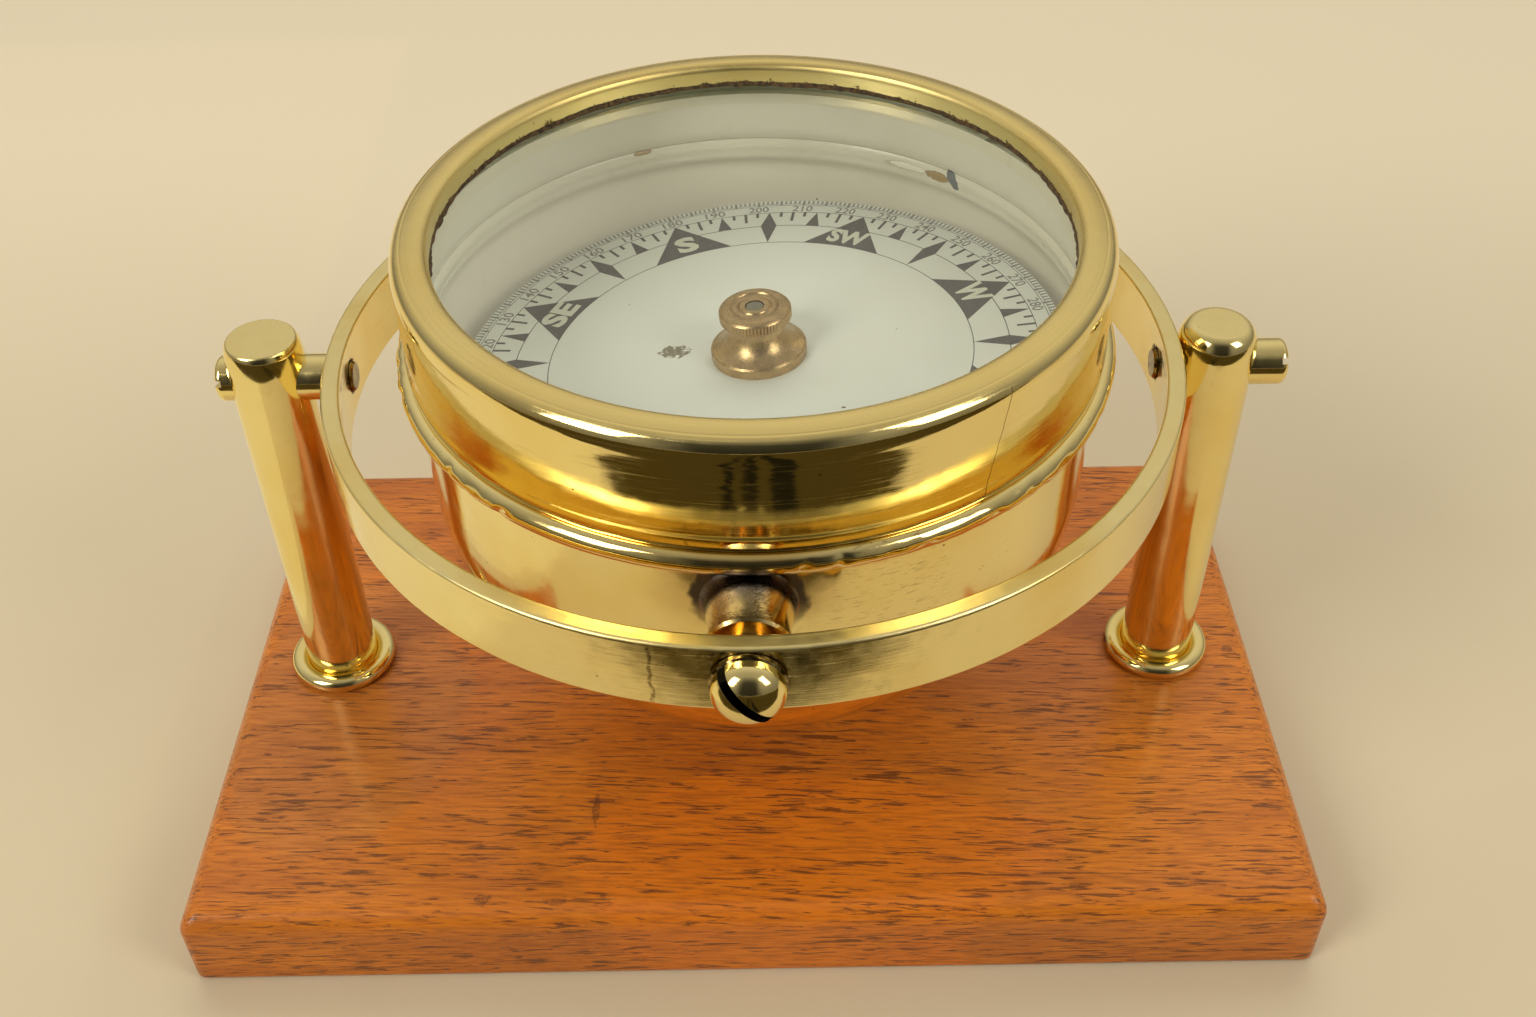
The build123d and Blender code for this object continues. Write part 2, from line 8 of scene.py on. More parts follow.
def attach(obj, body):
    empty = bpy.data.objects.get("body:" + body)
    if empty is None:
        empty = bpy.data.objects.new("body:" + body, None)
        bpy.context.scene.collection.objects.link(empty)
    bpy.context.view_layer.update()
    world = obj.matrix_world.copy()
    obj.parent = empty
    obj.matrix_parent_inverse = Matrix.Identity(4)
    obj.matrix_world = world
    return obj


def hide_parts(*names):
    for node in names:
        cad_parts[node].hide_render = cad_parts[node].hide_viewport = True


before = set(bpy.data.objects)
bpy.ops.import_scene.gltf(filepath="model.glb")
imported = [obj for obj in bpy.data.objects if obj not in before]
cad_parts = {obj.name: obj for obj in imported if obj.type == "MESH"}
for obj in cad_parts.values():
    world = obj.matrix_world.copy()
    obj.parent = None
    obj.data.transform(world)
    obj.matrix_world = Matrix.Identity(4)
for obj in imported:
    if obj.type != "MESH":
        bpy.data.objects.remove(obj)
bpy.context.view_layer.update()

# Lengths are millimetres in the row's frame unless a name says otherwise; the scene itself is in metres.
MM = 0.001

# The bowl's own upright axis and the height of the two tilt axes
AXIS_X, AXIS_Y, AXIS_Z = 2.1, 2.3, 87.3

# Gimbal centre, and how far the front-rear tilt axis is turned from +Y, in degrees
GIMBAL_X = 1.6
TILT_TURN = -0.8
FRONT_SLOT_TURN = 46.0
REAR_SLOT_TURN = -15.0

# Bowl
BOWL_RADIUS = 57.1
BOWL_WALL = 1.4
BOWL_STRAIGHT_Z = 76.0
BOWL_BOTTOM_Z = 30.6
BOWL_FLAT_RADIUS = 9.0
STEM_HOLE_RADIUS = 3.02
BEAD_RADIUS = 1.9
BEAD_CENTRE_RADIUS = 57.9
BEAD_Z = 96.4
UPSTAND_OUTER = 55.9
UPSTAND_INNER = 54.5
UPSTAND_TOP_Z = 101.3
ROLLS_BOTTOM_Z = 96.0
ROLLS_TOP_Z = 101.6
# Azimuth round which painted light lightens the bowl's left inner wall
PAINTED_LIGHT_AZIMUTH = 168
# Heights where the painted glow of bounced light on the inner wall starts and is full
PAINTED_GLOW_TOP_Z = 100.0
PAINTED_GLOW_FULL_Z = 88.0
STAIN_HEIGHT = 0.8
SEAT_RING_BOTTOM_Z = 101.42
SEAT_RING_TOP_Z = 111.0
SEAT_RING_INNER = 54.3

# Posts, gimbal ring and pivot screws
POST_TOP_Z = 95.4
RING_INNER = 69.1
RING_TOP_Z = 93.55
SCREW_HEAD_DISTANCE = 76.0
SCREW_SLOT_WIDTH = 1.45
RING_MARK_AZIMUTH = -102.4
RING_MARK_BOTTOM_Z = 80.6
PIN_DIRT_RADIUS = 4.1

# Bosses soldered to the bowl; distances from the gimbal centre along the tilt axis
FRONT_BOSS_X = 0.75
BOSS_RADIUS = 6.6
SOLDER_FOOT_RADIUS = 7.35
SOLDER_TOP_DISTANCE = 58.7
BOSS_FACE_Y = -64.2
BOSS_FOOT_Y = -57.2

# Bezel
BEZEL_RADIUS = 57.9
BEZEL_SKIRT_INNER = 56.0
BEZEL_BOTTOM_Z = 98.4
BEZEL_TOP_Z = 118.3
BEZEL_OPENING = 51.7
LIP_BOTTOM_Z = 114.05
SEAM_AZIMUTH = -53.6
SEAM_MIDDLE_Z = 108.0

# Putty under the lip
GLASS_TOP_Z = 114.0
PUTTY_REACH = 50.8

# Card: pivot, plane, lean and heading, as the CAD part places it
PIVOT_Z = 98.8
CARD_DROP = 7.8
CARD_LEAN = 4.6
CARD_LEAN_HEADING = 245.7
CARD_NORTH_TURN = -160.2
CARD_RADIUS = 51.7

# Printed pattern on the card, radii from its middle
INNER_CIRCLE = 36.3
MIDDLE_CIRCLE = 42.4
TICK_CIRCLE = 47.3
FIRST_RIM_CIRCLE = 50.0
SECOND_RIM_CIRCLE = 50.5
LETTER_RADIUS = 40.1
NUMERAL_RADIUS = 48.7
INK_BOTTOM = 0.004
INK_TOP = 0.014
LETTER_TOP = 0.024

# Camera
CAMERA_PLACE = (3.6065, -222.775, 254.989)
CAMERA_LENS = 38.082
CAMERA_YAW = 0.0004
CAMERA_PITCH = 0.726
CAMERA_ROLL = -0.0162


# ---------------------------------------------------------------- materials


class Value:
    """One output of a node. Arithmetic on it adds a math node."""

    def __init__(self, tree, socket):
        self.tree = tree
        self.socket = socket

    def __add__(self, other):
        return self.tree.math("ADD", self, other)

    def __sub__(self, other):
        return self.tree.math("SUBTRACT", self, other)

    def __rsub__(self, other):
        return self.tree.math("SUBTRACT", other, self)

    def __mul__(self, other):
        return self.tree.math("MULTIPLY", self, other)

    def __truediv__(self, other):
        return self.tree.math("DIVIDE", self, other)

    def __abs__(self):
        return self.tree.math("ABSOLUTE", self)


class NodeTree:
    """Nodes of a material or a world. Any input may be a number, a colour or a Value."""

    def __init__(self, owner):
        owner.use_nodes = True
        self.nodes = owner.node_tree.nodes
        self.links = owner.node_tree.links

    def feed(self, socket, value):
        if isinstance(value, Value):
            self.links.new(value.socket, socket)
        elif isinstance(value, (tuple, list)) and len(value) == 3 and socket.type == "RGBA":
            socket.default_value = (*value, 1.0)
        else:
            socket.default_value = value

    def add(self, kind, output, inputs, **settings):
        """New node with its inputs given in order or by name; returns the chosen output."""
        node = self.nodes.new("ShaderNode" + kind)
        for name, setting in settings.items():
            setattr(node, name, setting)
        for key, value in inputs.items() if isinstance(inputs, dict) else enumerate(inputs):
            self.feed(node.inputs[key], value)
        return Value(self, node.outputs[output])

    def math(self, operation, a, b=0.0, clamp=False):
        return self.add("Math", 0, (a, b), operation=operation, use_clamp=clamp)

    def split(self, vector):
        node = self.nodes.new("ShaderNodeSeparateXYZ")
        self.feed(node.inputs[0], vector)
        return [Value(self, part) for part in node.outputs]

    def ramp(self, value, start, end, low=0.0, high=1.0):
        """Value runs from low at start to high at end, with soft ends."""
        inputs = (value, start, end, low, high)
        return self.add("MapRange", "Result", inputs, interpolation_type="SMOOTHSTEP")


class Shader(NodeTree):
    """Node tree of one material; places in it are in millimetres."""

    def __init__(self, name):
        self.material = bpy.data.materials.new(name)
        super().__init__(self.material)
        self.surface = self.nodes["Principled BSDF"]
        self.output = self.nodes["Material Output"]
        self.place = self.scaled(self.add("TexCoord", "Object", ()), (1000, 1000, 1000))

    def set(self, **inputs):
        for name, value in inputs.items():
            self.feed(self.surface.inputs[name.replace("_", " ")], value)

    def scaled(self, vector, scale, turn=(0, 0, 0)):
        return self.add("Mapping", "Vector", {"Vector": vector, "Scale": scale, "Rotation": turn})

    def moved(self, vector, offset):
        return self.add("VectorMath", "Vector", (vector, offset), operation="ADD")

    def joined(self, x, y, z):
        return self.add("CombineXYZ", 0, (x, y, z))

    def distance(self, du, dv):
        return self.math("SQRT", du * du + dv * dv)

    def noise(self, scale, detail=3.0, roughness=0.5, distortion=0.0, at=None):
        """Smooth noise over the piece, or over another vector given as at."""
        inputs = {"Vector": at or self.place, "Scale": scale, "Detail": detail}
        inputs.update({"Roughness": roughness, "Distortion": distortion})
        return self.add("TexNoise", "Fac", inputs)

    def streaks(self, stretch, detail=3.0, roughness=0.5, distortion=0.0, turn=(0, 0, 0), at=None):
        """Noise drawn out along the directions where stretch is small."""
        return self.noise(1.0, detail, roughness, distortion, self.scaled(at or self.place, stretch, turn))

    def cells(self, scale):
        """Distance to the nearest of a scatter of points."""
        return self.add("TexVoronoi", "Distance", {"Vector": self.place, "Scale": scale})

    def mix(self, factor, a, b):
        inputs = {"Factor": factor, 6: a, 7: b}
        return self.add("Mix", 2, inputs, data_type="RGBA", blend_type="MIX")

    def bump(self, height, distance, under=None):
        """Relief with the given height in millimetres."""
        inputs = {"Height": height, "Strength": 1.0, "Distance": distance * MM}
        if under is not None:
            inputs["Normal"] = under
        return self.add("Bump", "Normal", inputs)

    def about_axis(self, axis_x=AXIS_X):
        """(radius, azimuth in degrees, height) about an upright axis, the bowl's own by default."""
        x, y, z = self.split(self.moved(self.place, (-axis_x, -AXIS_Y, 0)))
        radius = self.add("VectorMath", "Value", (self.joined(x, y, 0),), operation="LENGTH")
        azimuth = self.math("ARCTAN2", y, x) * (180 / math.pi)
        return radius, azimuth, z

    def lines_round(self, radius, azimuth, height, along, across, roughness):
        """Fine lines that run level round the upright axis."""
        at = self.joined(azimuth * along, height * across, radius * across)
        return self.noise(1.0, 4, roughness, at=at)

    def smeared(self, normal, azimuth, height, amount):
        """Normal swung sideways by thin level layers, as polishing round a rim leaves it."""
        layers = self.noise(1.0, 5, 0.62, at=self.joined(azimuth * 0.13, height * 1.7, 0))
        swing = (layers - 0.5) * amount
        turn = azimuth * (math.pi / 180)
        along_x = self.math("SINE", turn) * (swing * -1.0)
        along_y = self.math("COSINE", turn) * swing
        return self.moved(normal, self.joined(along_x, along_y, 0))

    def patch(self, u, v, centre, half, ragged, scale):
        """Mask of one ragged patch: 1 inside, 0 outside, in the two given coordinates."""
        du = (u - centre[0]) / half[0]
        dv = (v - centre[1]) / half[1]
        wobble = (self.noise(scale, 4) - 0.5) * ragged
        return self.ramp(self.distance(du, dv) + wobble, 1.06, 0.94)


def brass_surface(shader, tint=(0.93, 0.775, 0.35), deep=(0.88, 0.68, 0.25), roughness=0.09):
    """Hand-polished brass: slight tint changes, hairline scratches, a few pits. Returns its normal."""
    colour = shader.mix(shader.ramp(shader.noise(0.045, 4), 0.4, 0.75), tint, deep)
    rough = shader.ramp(shader.noise(0.35, 5, 0.6), 0.35, 0.8, roughness, roughness * 2.2)
    scratch_a = shader.streaks((0.35, 9.0, 9.0), 2, turn=(0.4, 0.2, 0.7))
    scratch_b = shader.streaks((8.0, 0.4, 8.0), 2, turn=(0.9, 0.5, 0.2))
    pits = shader.ramp(shader.cells(0.22), 0.055, 0.03) * shader.ramp(shader.noise(0.11, 2), 0.56, 0.62)
    colour = shader.mix(pits, colour, (0.1, 0.06, 0.02))
    shader.set(Base_Color=colour, Metallic=1.0, Roughness=rough)
    wavy = shader.bump(shader.noise(0.09, 2), 0.1)
    return shader.bump(scratch_a + scratch_b, 0.0011, wavy), colour, rough


def polished_brass():
    """Brass of the posts, pins and collars; the post tops are worn to a satin."""
    shader = Shader("polished_brass")
    normal, colour, rough = brass_surface(shader)
    x, _, z = shader.split(shader.place)
    top = shader.ramp(z, POST_TOP_Z - 0.6, POST_TOP_Z - 0.1)
    shader.set(Roughness=rough + top * 0.16)
    across = abs(x - GIMBAL_X)
    tip = shader.ramp(across, RING_INNER + 0.2, RING_INNER - 0.1)
    dirty = shader.ramp(shader.noise(0.9, 4, 0.6), 0.3, 0.62, 0.55, 0.97)
    colour = shader.mix(tip * dirty, colour, (0.105, 0.062, 0.022))
    shader.set(Base_Color=colour, Normal=normal)
    return shader.material


def pivot_screw_brass():
    """Polished screws with painted shade darkening their slots."""
    shader = Shader("pivot_screw_brass")
    normal, colour, rough = brass_surface(shader)
    x, y, z = shader.split(shader.place)
    sway = math.sin(math.radians(TILT_TURN)) * SCREW_HEAD_DISTANCE
    for side, turn in ((-1, FRONT_SLOT_TURN), (1, REAR_SLOT_TURN)):
        near = shader.ramp(y * side, 0.0, 20.0)
        turn = math.radians(turn)
        dx = x - (GIMBAL_X - side * sway)
        dz = z - AXIS_Z
        gap = dx * math.sin(turn) + dz * math.cos(turn)
        inside = shader.ramp(abs(gap), SCREW_SLOT_WIDTH / 2 + 0.1, SCREW_SLOT_WIDTH / 2 + 0.02)
        # Painted shade: the slot faces are made near black, as the shade inside the deep slots
        painted_slot_shade = inside * near
        colour = shader.mix(painted_slot_shade, colour, (0.012, 0.009, 0.006))
        rough = rough + painted_slot_shade * 0.5
    shader.set(Base_Color=colour, Roughness=rough, Normal=normal)
    return shader.material


def brushed_ring_brass():
    """Brass of the gimbal ring, with fine lines that run round it and dirt at the pin holes."""
    shader = Shader("brushed_ring_brass")
    normal, colour, rough = brass_surface(shader, tint=(0.93, 0.785, 0.37), roughness=0.1)
    radius, azimuth, height = shader.about_axis(GIMBAL_X)
    lines = shader.lines_round(radius, azimuth, height, 0.1, 3.2, 0.65)
    satin = shader.ramp(height, RING_TOP_Z - 0.7, RING_TOP_Z - 0.3) * 0.2
    _, y, z = shader.split(shader.place)
    from_pin = shader.distance(y - AXIS_Y, z - AXIS_Z)
    ragged = shader.noise(0.9, 3) * 1.6
    crevice = shader.ramp(from_pin + ragged, PIN_DIRT_RADIUS, PIN_DIRT_RADIUS - 0.5)
    colour = shader.mix(crevice, colour, (0.075, 0.045, 0.018))
    crooked = shader.streaks((0.1, 0.1, 0.6), 3) * 1.1
    from_mark = abs(azimuth - (crooked + RING_MARK_AZIMUTH))
    above = shader.ramp(height, RING_MARK_BOTTOM_Z, RING_MARK_BOTTOM_Z + 1.2)
    mark = shader.ramp(from_mark, 0.34, 0.1) * above
    mark = mark * shader.ramp(height, RING_TOP_Z - 0.5, RING_TOP_Z - 1.2)
    broken = shader.ramp(shader.noise(1.1, 4, 0.7), 0.36, 0.5, 0.1, 0.75)
    colour = shader.mix(mark * broken, colour, (0.2, 0.13, 0.04))
    worn = shader.ramp(lines, 0.54, 0.68, 0.0, 0.13)
    rough = rough + satin + crevice * 0.3 + worn
    shader.set(Base_Color=colour, Roughness=rough)
    shader.set(Normal=shader.smeared(shader.bump(lines, 0.004, normal), azimuth, height, 0.16))
    return shader.material


def bezel_brass():
    """Brass of the bezel: soldered seam, faint turned lines, darker lip, pale sealing round the glass."""
    shader = Shader("bezel_brass")
    normal, colour, rough = brass_surface(shader, roughness=0.055)
    radius, azimuth, height = shader.about_axis()
    top = shader.ramp(height, BEZEL_TOP_Z - 1.2, BEZEL_TOP_Z - 0.5)
    rough = rough + top * 0.17
    turned_lines = shader.lines_round(radius, azimuth, height, 0.05, 2.4, 0.7)
    rough = rough + shader.ramp(turned_lines, 0.52, 0.68, 0.0, 0.15)
    colour = shader.mix(top * 0.55, colour, (0.9, 0.69, 0.24))
    rough = rough + shader.ramp(radius, BEZEL_OPENING + 0.5, BEZEL_OPENING + 0.2) * 0.24
    seam_path = (height - SEAM_MIDDLE_Z) * 0.22 + SEAM_AZIMUTH
    wander = shader.noise(0.5, 2) * 0.5
    seam_gap = abs(azimuth - (seam_path + wander))
    on_skirt = shader.ramp(radius, BEZEL_RADIUS - 0.7, BEZEL_RADIUS - 0.4)
    seam = shader.ramp(seam_gap, 0.13, 0.05) * on_skirt
    colour = shader.mix(seam * 0.75, colour, (0.16, 0.09, 0.03))
    under_lip = shader.ramp(radius, BEZEL_OPENING + 0.12, BEZEL_OPENING + 0.02)
    rust = shader.noise(0.55, 5, 0.65)
    reach = height - shader.ramp(rust, 0.45, 0.75, 0.0, 1.2)
    low_lip = shader.ramp(reach, LIP_BOTTOM_Z + 0.7, LIP_BOTTOM_Z + 0.2)
    brown = under_lip * low_lip * 0.85
    colour = shader.mix(brown, colour, (0.16, 0.085, 0.025))
    above_seat = shader.ramp(height, SEAT_RING_TOP_Z - 0.4, SEAT_RING_TOP_Z - 0.1)
    below_lip = shader.ramp(height, LIP_BOTTOM_Z + 0.15, LIP_BOTTOM_Z + 0.05)
    inside = shader.ramp(radius, BEZEL_SKIRT_INNER + 0.4, BEZEL_SKIRT_INNER + 0.2)
    sealed = above_seat * below_lip * inside
    colour = shader.mix(sealed, colour, (0.66, 0.68, 0.55))
    dull = brown * 0.35 + sealed * 0.5
    shader.set(Base_Color=colour, Metallic=1.0 - sealed, Roughness=rough + dull)
    shader.set(Normal=shader.smeared(shader.bump(turned_lines, 0.0025, normal), azimuth, height, 0.085))
    return shader.material


def bowl_brass():
    """Brass of the bowl, stained by the heat of soldering round the front boss."""
    shader = Shader("bowl_brass")
    normal, colour, rough = brass_surface(shader, roughness=0.075)
    x, y, z = shader.split(shader.place)
    away = shader.distance(x - FRONT_BOSS_X, z - (AXIS_Z + STAIN_HEIGHT))
    ragged = (shader.noise(0.4, 4) - 0.5) * 2.6
    edge = away + ragged
    front = shader.ramp(y, -30, -40)
    above = shader.ramp(z, AXIS_Z - 7, AXIS_Z + 1)
    reach = front * above
    halo = shader.ramp(edge, 17, 9.5) * reach
    colour = shader.mix(halo * 0.38, colour, (0.42, 0.25, 0.1))
    outer = shader.ramp(edge, 9.3, 8.3)
    inner = shader.ramp(edge, 5.6, 6.6, 0.35, 1.0)
    stain = outer * inner * reach
    colour = shader.mix(stain * 0.9, colour, (0.045, 0.03, 0.034))
    rubbed = shader.ramp(shader.streaks((0.45, 0.45, 3.2), 3, 0.6, turn=(0, 0.5, 0)), 0.56, 0.66)
    beside = shader.ramp(x, 9, 14) * shader.ramp(x, 36, 26)
    rubbed = rubbed * beside * (front * 0.45)
    colour = shader.mix(rubbed, colour, (0.34, 0.22, 0.09))
    specks = shader.ramp(shader.cells(0.9), 0.2, 0.1)
    speckled = specks * shader.ramp(shader.noise(0.12, 3), 0.55, 0.7)
    colour = shader.mix(speckled * 0.5, colour, (0.3, 0.19, 0.08))
    shader.set(Base_Color=colour, Roughness=rough + stain * 0.16)
    shader.set(Normal=normal)
    return shader.material


def soldered_brass():
    """Boss brass splashed with soft solder above, browned by heat on its low sides, with a painted
    orange-brown reflection on its face.
    """
    shader = Shader("soldered_brass")
    normal, colour, rough = brass_surface(
        shader, tint=(0.91, 0.72, 0.32), deep=(0.72, 0.47, 0.18), roughness=0.12
    )
    x, y, z = shader.split(shader.place)
    ragged = (shader.noise(0.45, 5, 0.6) - 0.5) * 8.0
    slant = (x - FRONT_BOSS_X) * -1.1
    level = z + slant + ragged
    solder = shader.ramp(level, AXIS_Z + 1.4, AXIS_Z + 4.0)
    solder = solder * shader.ramp(y, BOSS_FACE_Y, BOSS_FACE_Y + 1.0)
    heat = shader.ramp(shader.noise(0.22, 4), 0.46, 0.66)
    colour = shader.mix(heat * 0.4, colour, (0.4, 0.24, 0.09))
    # Painted reflection: the boss's front face is tinted orange-brown, as the wood reflected in it
    face = shader.ramp(y, BOSS_FACE_Y + 0.3, BOSS_FACE_Y - 0.1)
    colour = shader.mix(face * 0.25, colour, (0.6, 0.36, 0.1))
    blotch = shader.noise(1.7, 5, 0.7)
    grey = shader.mix(shader.ramp(blotch, 0.54, 0.7), (0.9, 0.84, 0.7), (0.3, 0.25, 0.19))
    colour = shader.mix(solder * 0.75, colour, grey)
    grains = shader.noise(2.8, 3, 0.6)
    foot = shader.ramp(y + ragged * 0.16, BOSS_FOOT_Y - 1.2, BOSS_FOOT_Y)
    foot = foot * shader.ramp(z, AXIS_Z - 4, AXIS_Z + 1)
    colour = shader.mix(foot * 0.9, colour, (0.05, 0.035, 0.036))
    dull = shader.math("ADD", solder, foot, clamp=True) * 0.1
    shader.set(Base_Color=colour, Roughness=rough + dull)
    shader.set(Normal=shader.bump(grains * solder, 0.085, normal))
    return shader.material


def aged_bronze():
    """Dull brown patina with brighter metal showing through on the hub."""
    shader = Shader("aged_bronze")
    blotch = shader.noise(0.45, 5, 0.6)
    colour = shader.mix(shader.ramp(blotch, 0.35, 0.7), (0.62, 0.435, 0.23), (0.46, 0.32, 0.165))
    green = shader.ramp(shader.noise(0.9, 4), 0.58, 0.72)
    colour = shader.mix(green * 0.35, colour, (0.36, 0.33, 0.2))
    fine = shader.noise(3.0, 4, 0.6)
    shader.set(Base_Color=colour, Metallic=0.92, Roughness=shader.ramp(fine, 0.3, 0.7, 0.26, 0.38))
    shader.set(Normal=shader.bump(fine, 0.01))
    return shader.material


def grey_jewel():
    shader = Shader("grey_jewel")
    cloud = shader.noise(1.5, 3)
    colour = shader.mix(cloud, (0.21, 0.195, 0.135), (0.14, 0.125, 0.09))
    shader.set(Base_Color=colour, Roughness=0.22, Normal=shader.bump(cloud, 0.02))
    return shader.material


def plain_steel():
    shader = Shader("plain_steel")
    grain = shader.streaks((0.4, 5, 5), 4)
    colour = shader.mix(shader.ramp(grain, 0.3, 0.7), (0.42, 0.41, 0.39), (0.24, 0.22, 0.2))
    shader.set(Base_Color=colour, Metallic=1.0, Roughness=shader.ramp(grain, 0.3, 0.7, 0.28, 0.45))
    shader.set(Normal=shader.bump(grain, 0.01))
    return shader.material


def dull_lead():
    shader = Shader("dull_lead")
    blotch = shader.noise(0.25, 6, 0.6)
    colour = shader.mix(blotch, (0.16, 0.17, 0.18), (0.3, 0.31, 0.32))
    shader.set(Base_Color=colour, Metallic=0.6, Roughness=0.6, Normal=shader.bump(blotch, 0.25))
    return shader.material


def enamel():
    """Cream-white paint inside the bowl, with old chips near the rim and brush marks on the rolls; painted
    light lightens the left wall and a painted glow of bounced light lies low on the wall.
    """
    shader = Shader("enamel")
    _, azimuth, height = shader.about_axis()
    broad = shader.noise(0.04, 4)
    colour = shader.mix(shader.ramp(broad, 0.35, 0.7), (0.8, 0.765, 0.645), (0.74, 0.7, 0.57))
    # Painted light: the wall towards the left is lightened as if more light fell on it
    from_left = abs(abs(azimuth) - PAINTED_LIGHT_AZIMUTH)
    painted_light_left = shader.ramp(from_left, 62, 12, 0.0, 0.9)
    colour = shader.mix(painted_light_left, colour, (0.93, 0.905, 0.8))
    grime = shader.ramp(shader.noise(0.35, 5, 0.65, at=shader.scaled(shader.place, (1, 1, 0.4))), 0.62, 0.8)
    colour = shader.mix(grime * 0.22, colour, (0.48, 0.41, 0.28))
    tan = shader.patch(azimuth, height, (51.0, 99.6), (2.7, 0.95), 0.9, 1.1)
    slanted = azimuth - (height - 100) * 0.55
    dark = shader.patch(slanted, height, (47.6, 100.0), (1.15, 1.75), 0.8, 0.9)
    small = shader.patch(azimuth, height, (112.6, 101.0), (1.9, 0.4), 0.9, 1.2)
    streak = shader.patch(azimuth, height, (58.0, 99.7), (4.0, 0.62), 0.7, 1.0)
    around_streak = shader.patch(azimuth, height, (58.4, 99.7), (4.6, 0.78), 0.7, 1.0)
    edge = shader.math("SUBTRACT", around_streak, streak, clamp=True)
    colour = shader.mix(edge * 0.5, colour, (0.46, 0.36, 0.2))
    colour = shader.mix(streak, colour, (0.92, 0.89, 0.76))
    colour = shader.mix(tan, colour, (0.42, 0.29, 0.12))
    colour = shader.mix(dark, colour, (0.17, 0.18, 0.2))
    colour = shader.mix(small, colour, (0.47, 0.33, 0.17))
    specks = shader.ramp(shader.cells(0.12), 0.035, 0.022)
    colour = shader.mix(specks * 0.75, colour, (0.16, 0.11, 0.06))
    chipped = shader.math("ADD", tan + dark, small, clamp=True)
    shader.set(
        Base_Color=colour, Roughness=0.26, Specular_IOR_Level=0.5, Coat_Weight=0.35, Coat_Roughness=0.12
    )
    above = shader.ramp(height, ROLLS_BOTTOM_Z, ROLLS_BOTTOM_Z + 1.5)
    on_rolls = above * shader.ramp(height, ROLLS_TOP_Z, ROLLS_TOP_Z - 0.7)
    ripples = shader.noise(1.0, 2, at=shader.joined(azimuth * 0.62, height, 0))
    brushed = shader.bump(shader.noise(0.2, 3, at=shader.scaled(shader.place, (1, 1, 2.5))), 0.08)
    rippled = shader.bump(ripples * on_rolls, 0.16, brushed)
    shader.set(Normal=shader.bump(chipped * -1.0, 0.22, rippled))
    # Painted light: a faint emission low on the wall stands in for light bounced between the card and the
    # wall
    painted_bounce_glow = shader.ramp(height, PAINTED_GLOW_TOP_Z, PAINTED_GLOW_FULL_Z, 0.0, 0.1)
    shader.set(Emission_Color=(0.8, 0.74, 0.6), Emission_Strength=painted_bounce_glow)
    return shader.material


def old_putty():
    shader = Shader("old_putty")
    lump = shader.noise(1.3, 5, 0.7)
    colour = shader.mix(shader.ramp(lump, 0.35, 0.65), (0.03, 0.02, 0.012), (0.17, 0.095, 0.035))
    shader.set(Base_Color=colour, Roughness=0.8, Normal=shader.bump(lump, 0.5))
    return shader.material


def card_paper():
    """Off-white printed card with faint yellowing, a smudge by the hub and a few specks."""
    shader = Shader("card_paper")
    broad = shader.noise(0.03, 4)
    fibre = shader.noise(2.2, 4, 0.6)
    colour = shader.mix(shader.ramp(broad, 0.35, 0.7), (0.78, 0.8, 0.775), (0.73, 0.75, 0.71))
    colour = shader.mix(fibre * 0.1, colour, (0.6, 0.58, 0.47))
    x, y, _ = shader.split(shader.place)
    smudge = shader.patch(x, y, (-12.1, 4.2), (2.5, 1.7), 2.2, 0.8)
    smudge = smudge * shader.ramp(shader.noise(1.3, 5, 0.75), 0.36, 0.5)
    colour = shader.mix(smudge * 0.92, colour, (0.2, 0.165, 0.1))
    for centre, half in CARD_SPECKS:
        colour = shader.mix(shader.patch(x, y, centre, half, 0.8, 2.0), colour, (0.14, 0.09, 0.06))
    specks = shader.ramp(shader.cells(0.085), 0.035, 0.02)
    colour = shader.mix(specks * 0.7, colour, (0.2, 0.13, 0.09))
    shader.set(Base_Color=colour, Roughness=0.42, Specular_IOR_Level=0.35)
    shader.set(Normal=shader.bump(fibre, 0.006))
    return shader.material


# Specks on the card's face: (x, y) and half sizes
CARD_SPECKS = (
    ((16.2, -15.5), (0.34, 0.22)),
    ((13.9, -16.9), (0.16, 0.14)),
    ((-20.6, 20.4), (0.14, 0.12)),
    ((26.3, 6.1), (0.12, 0.16)),
)


def printed_ink(name, colour_a, colour_b, worn):
    shader = Shader(name)
    grain = shader.noise(1.1, 5, 0.65)
    colour = shader.mix(shader.ramp(grain, 0.35, 0.75), colour_a, colour_b)
    spots = shader.ramp(shader.cells(0.55), 0.1, 0.05)
    chosen = shader.ramp(shader.noise(0.21, 2), 0.56, 0.6)
    colour = shader.mix(spots * chosen * worn, colour, (0.55, 0.55, 0.48))
    shader.set(Base_Color=colour, Roughness=0.45, Normal=shader.bump(grain, 0.004))
    return shader.material


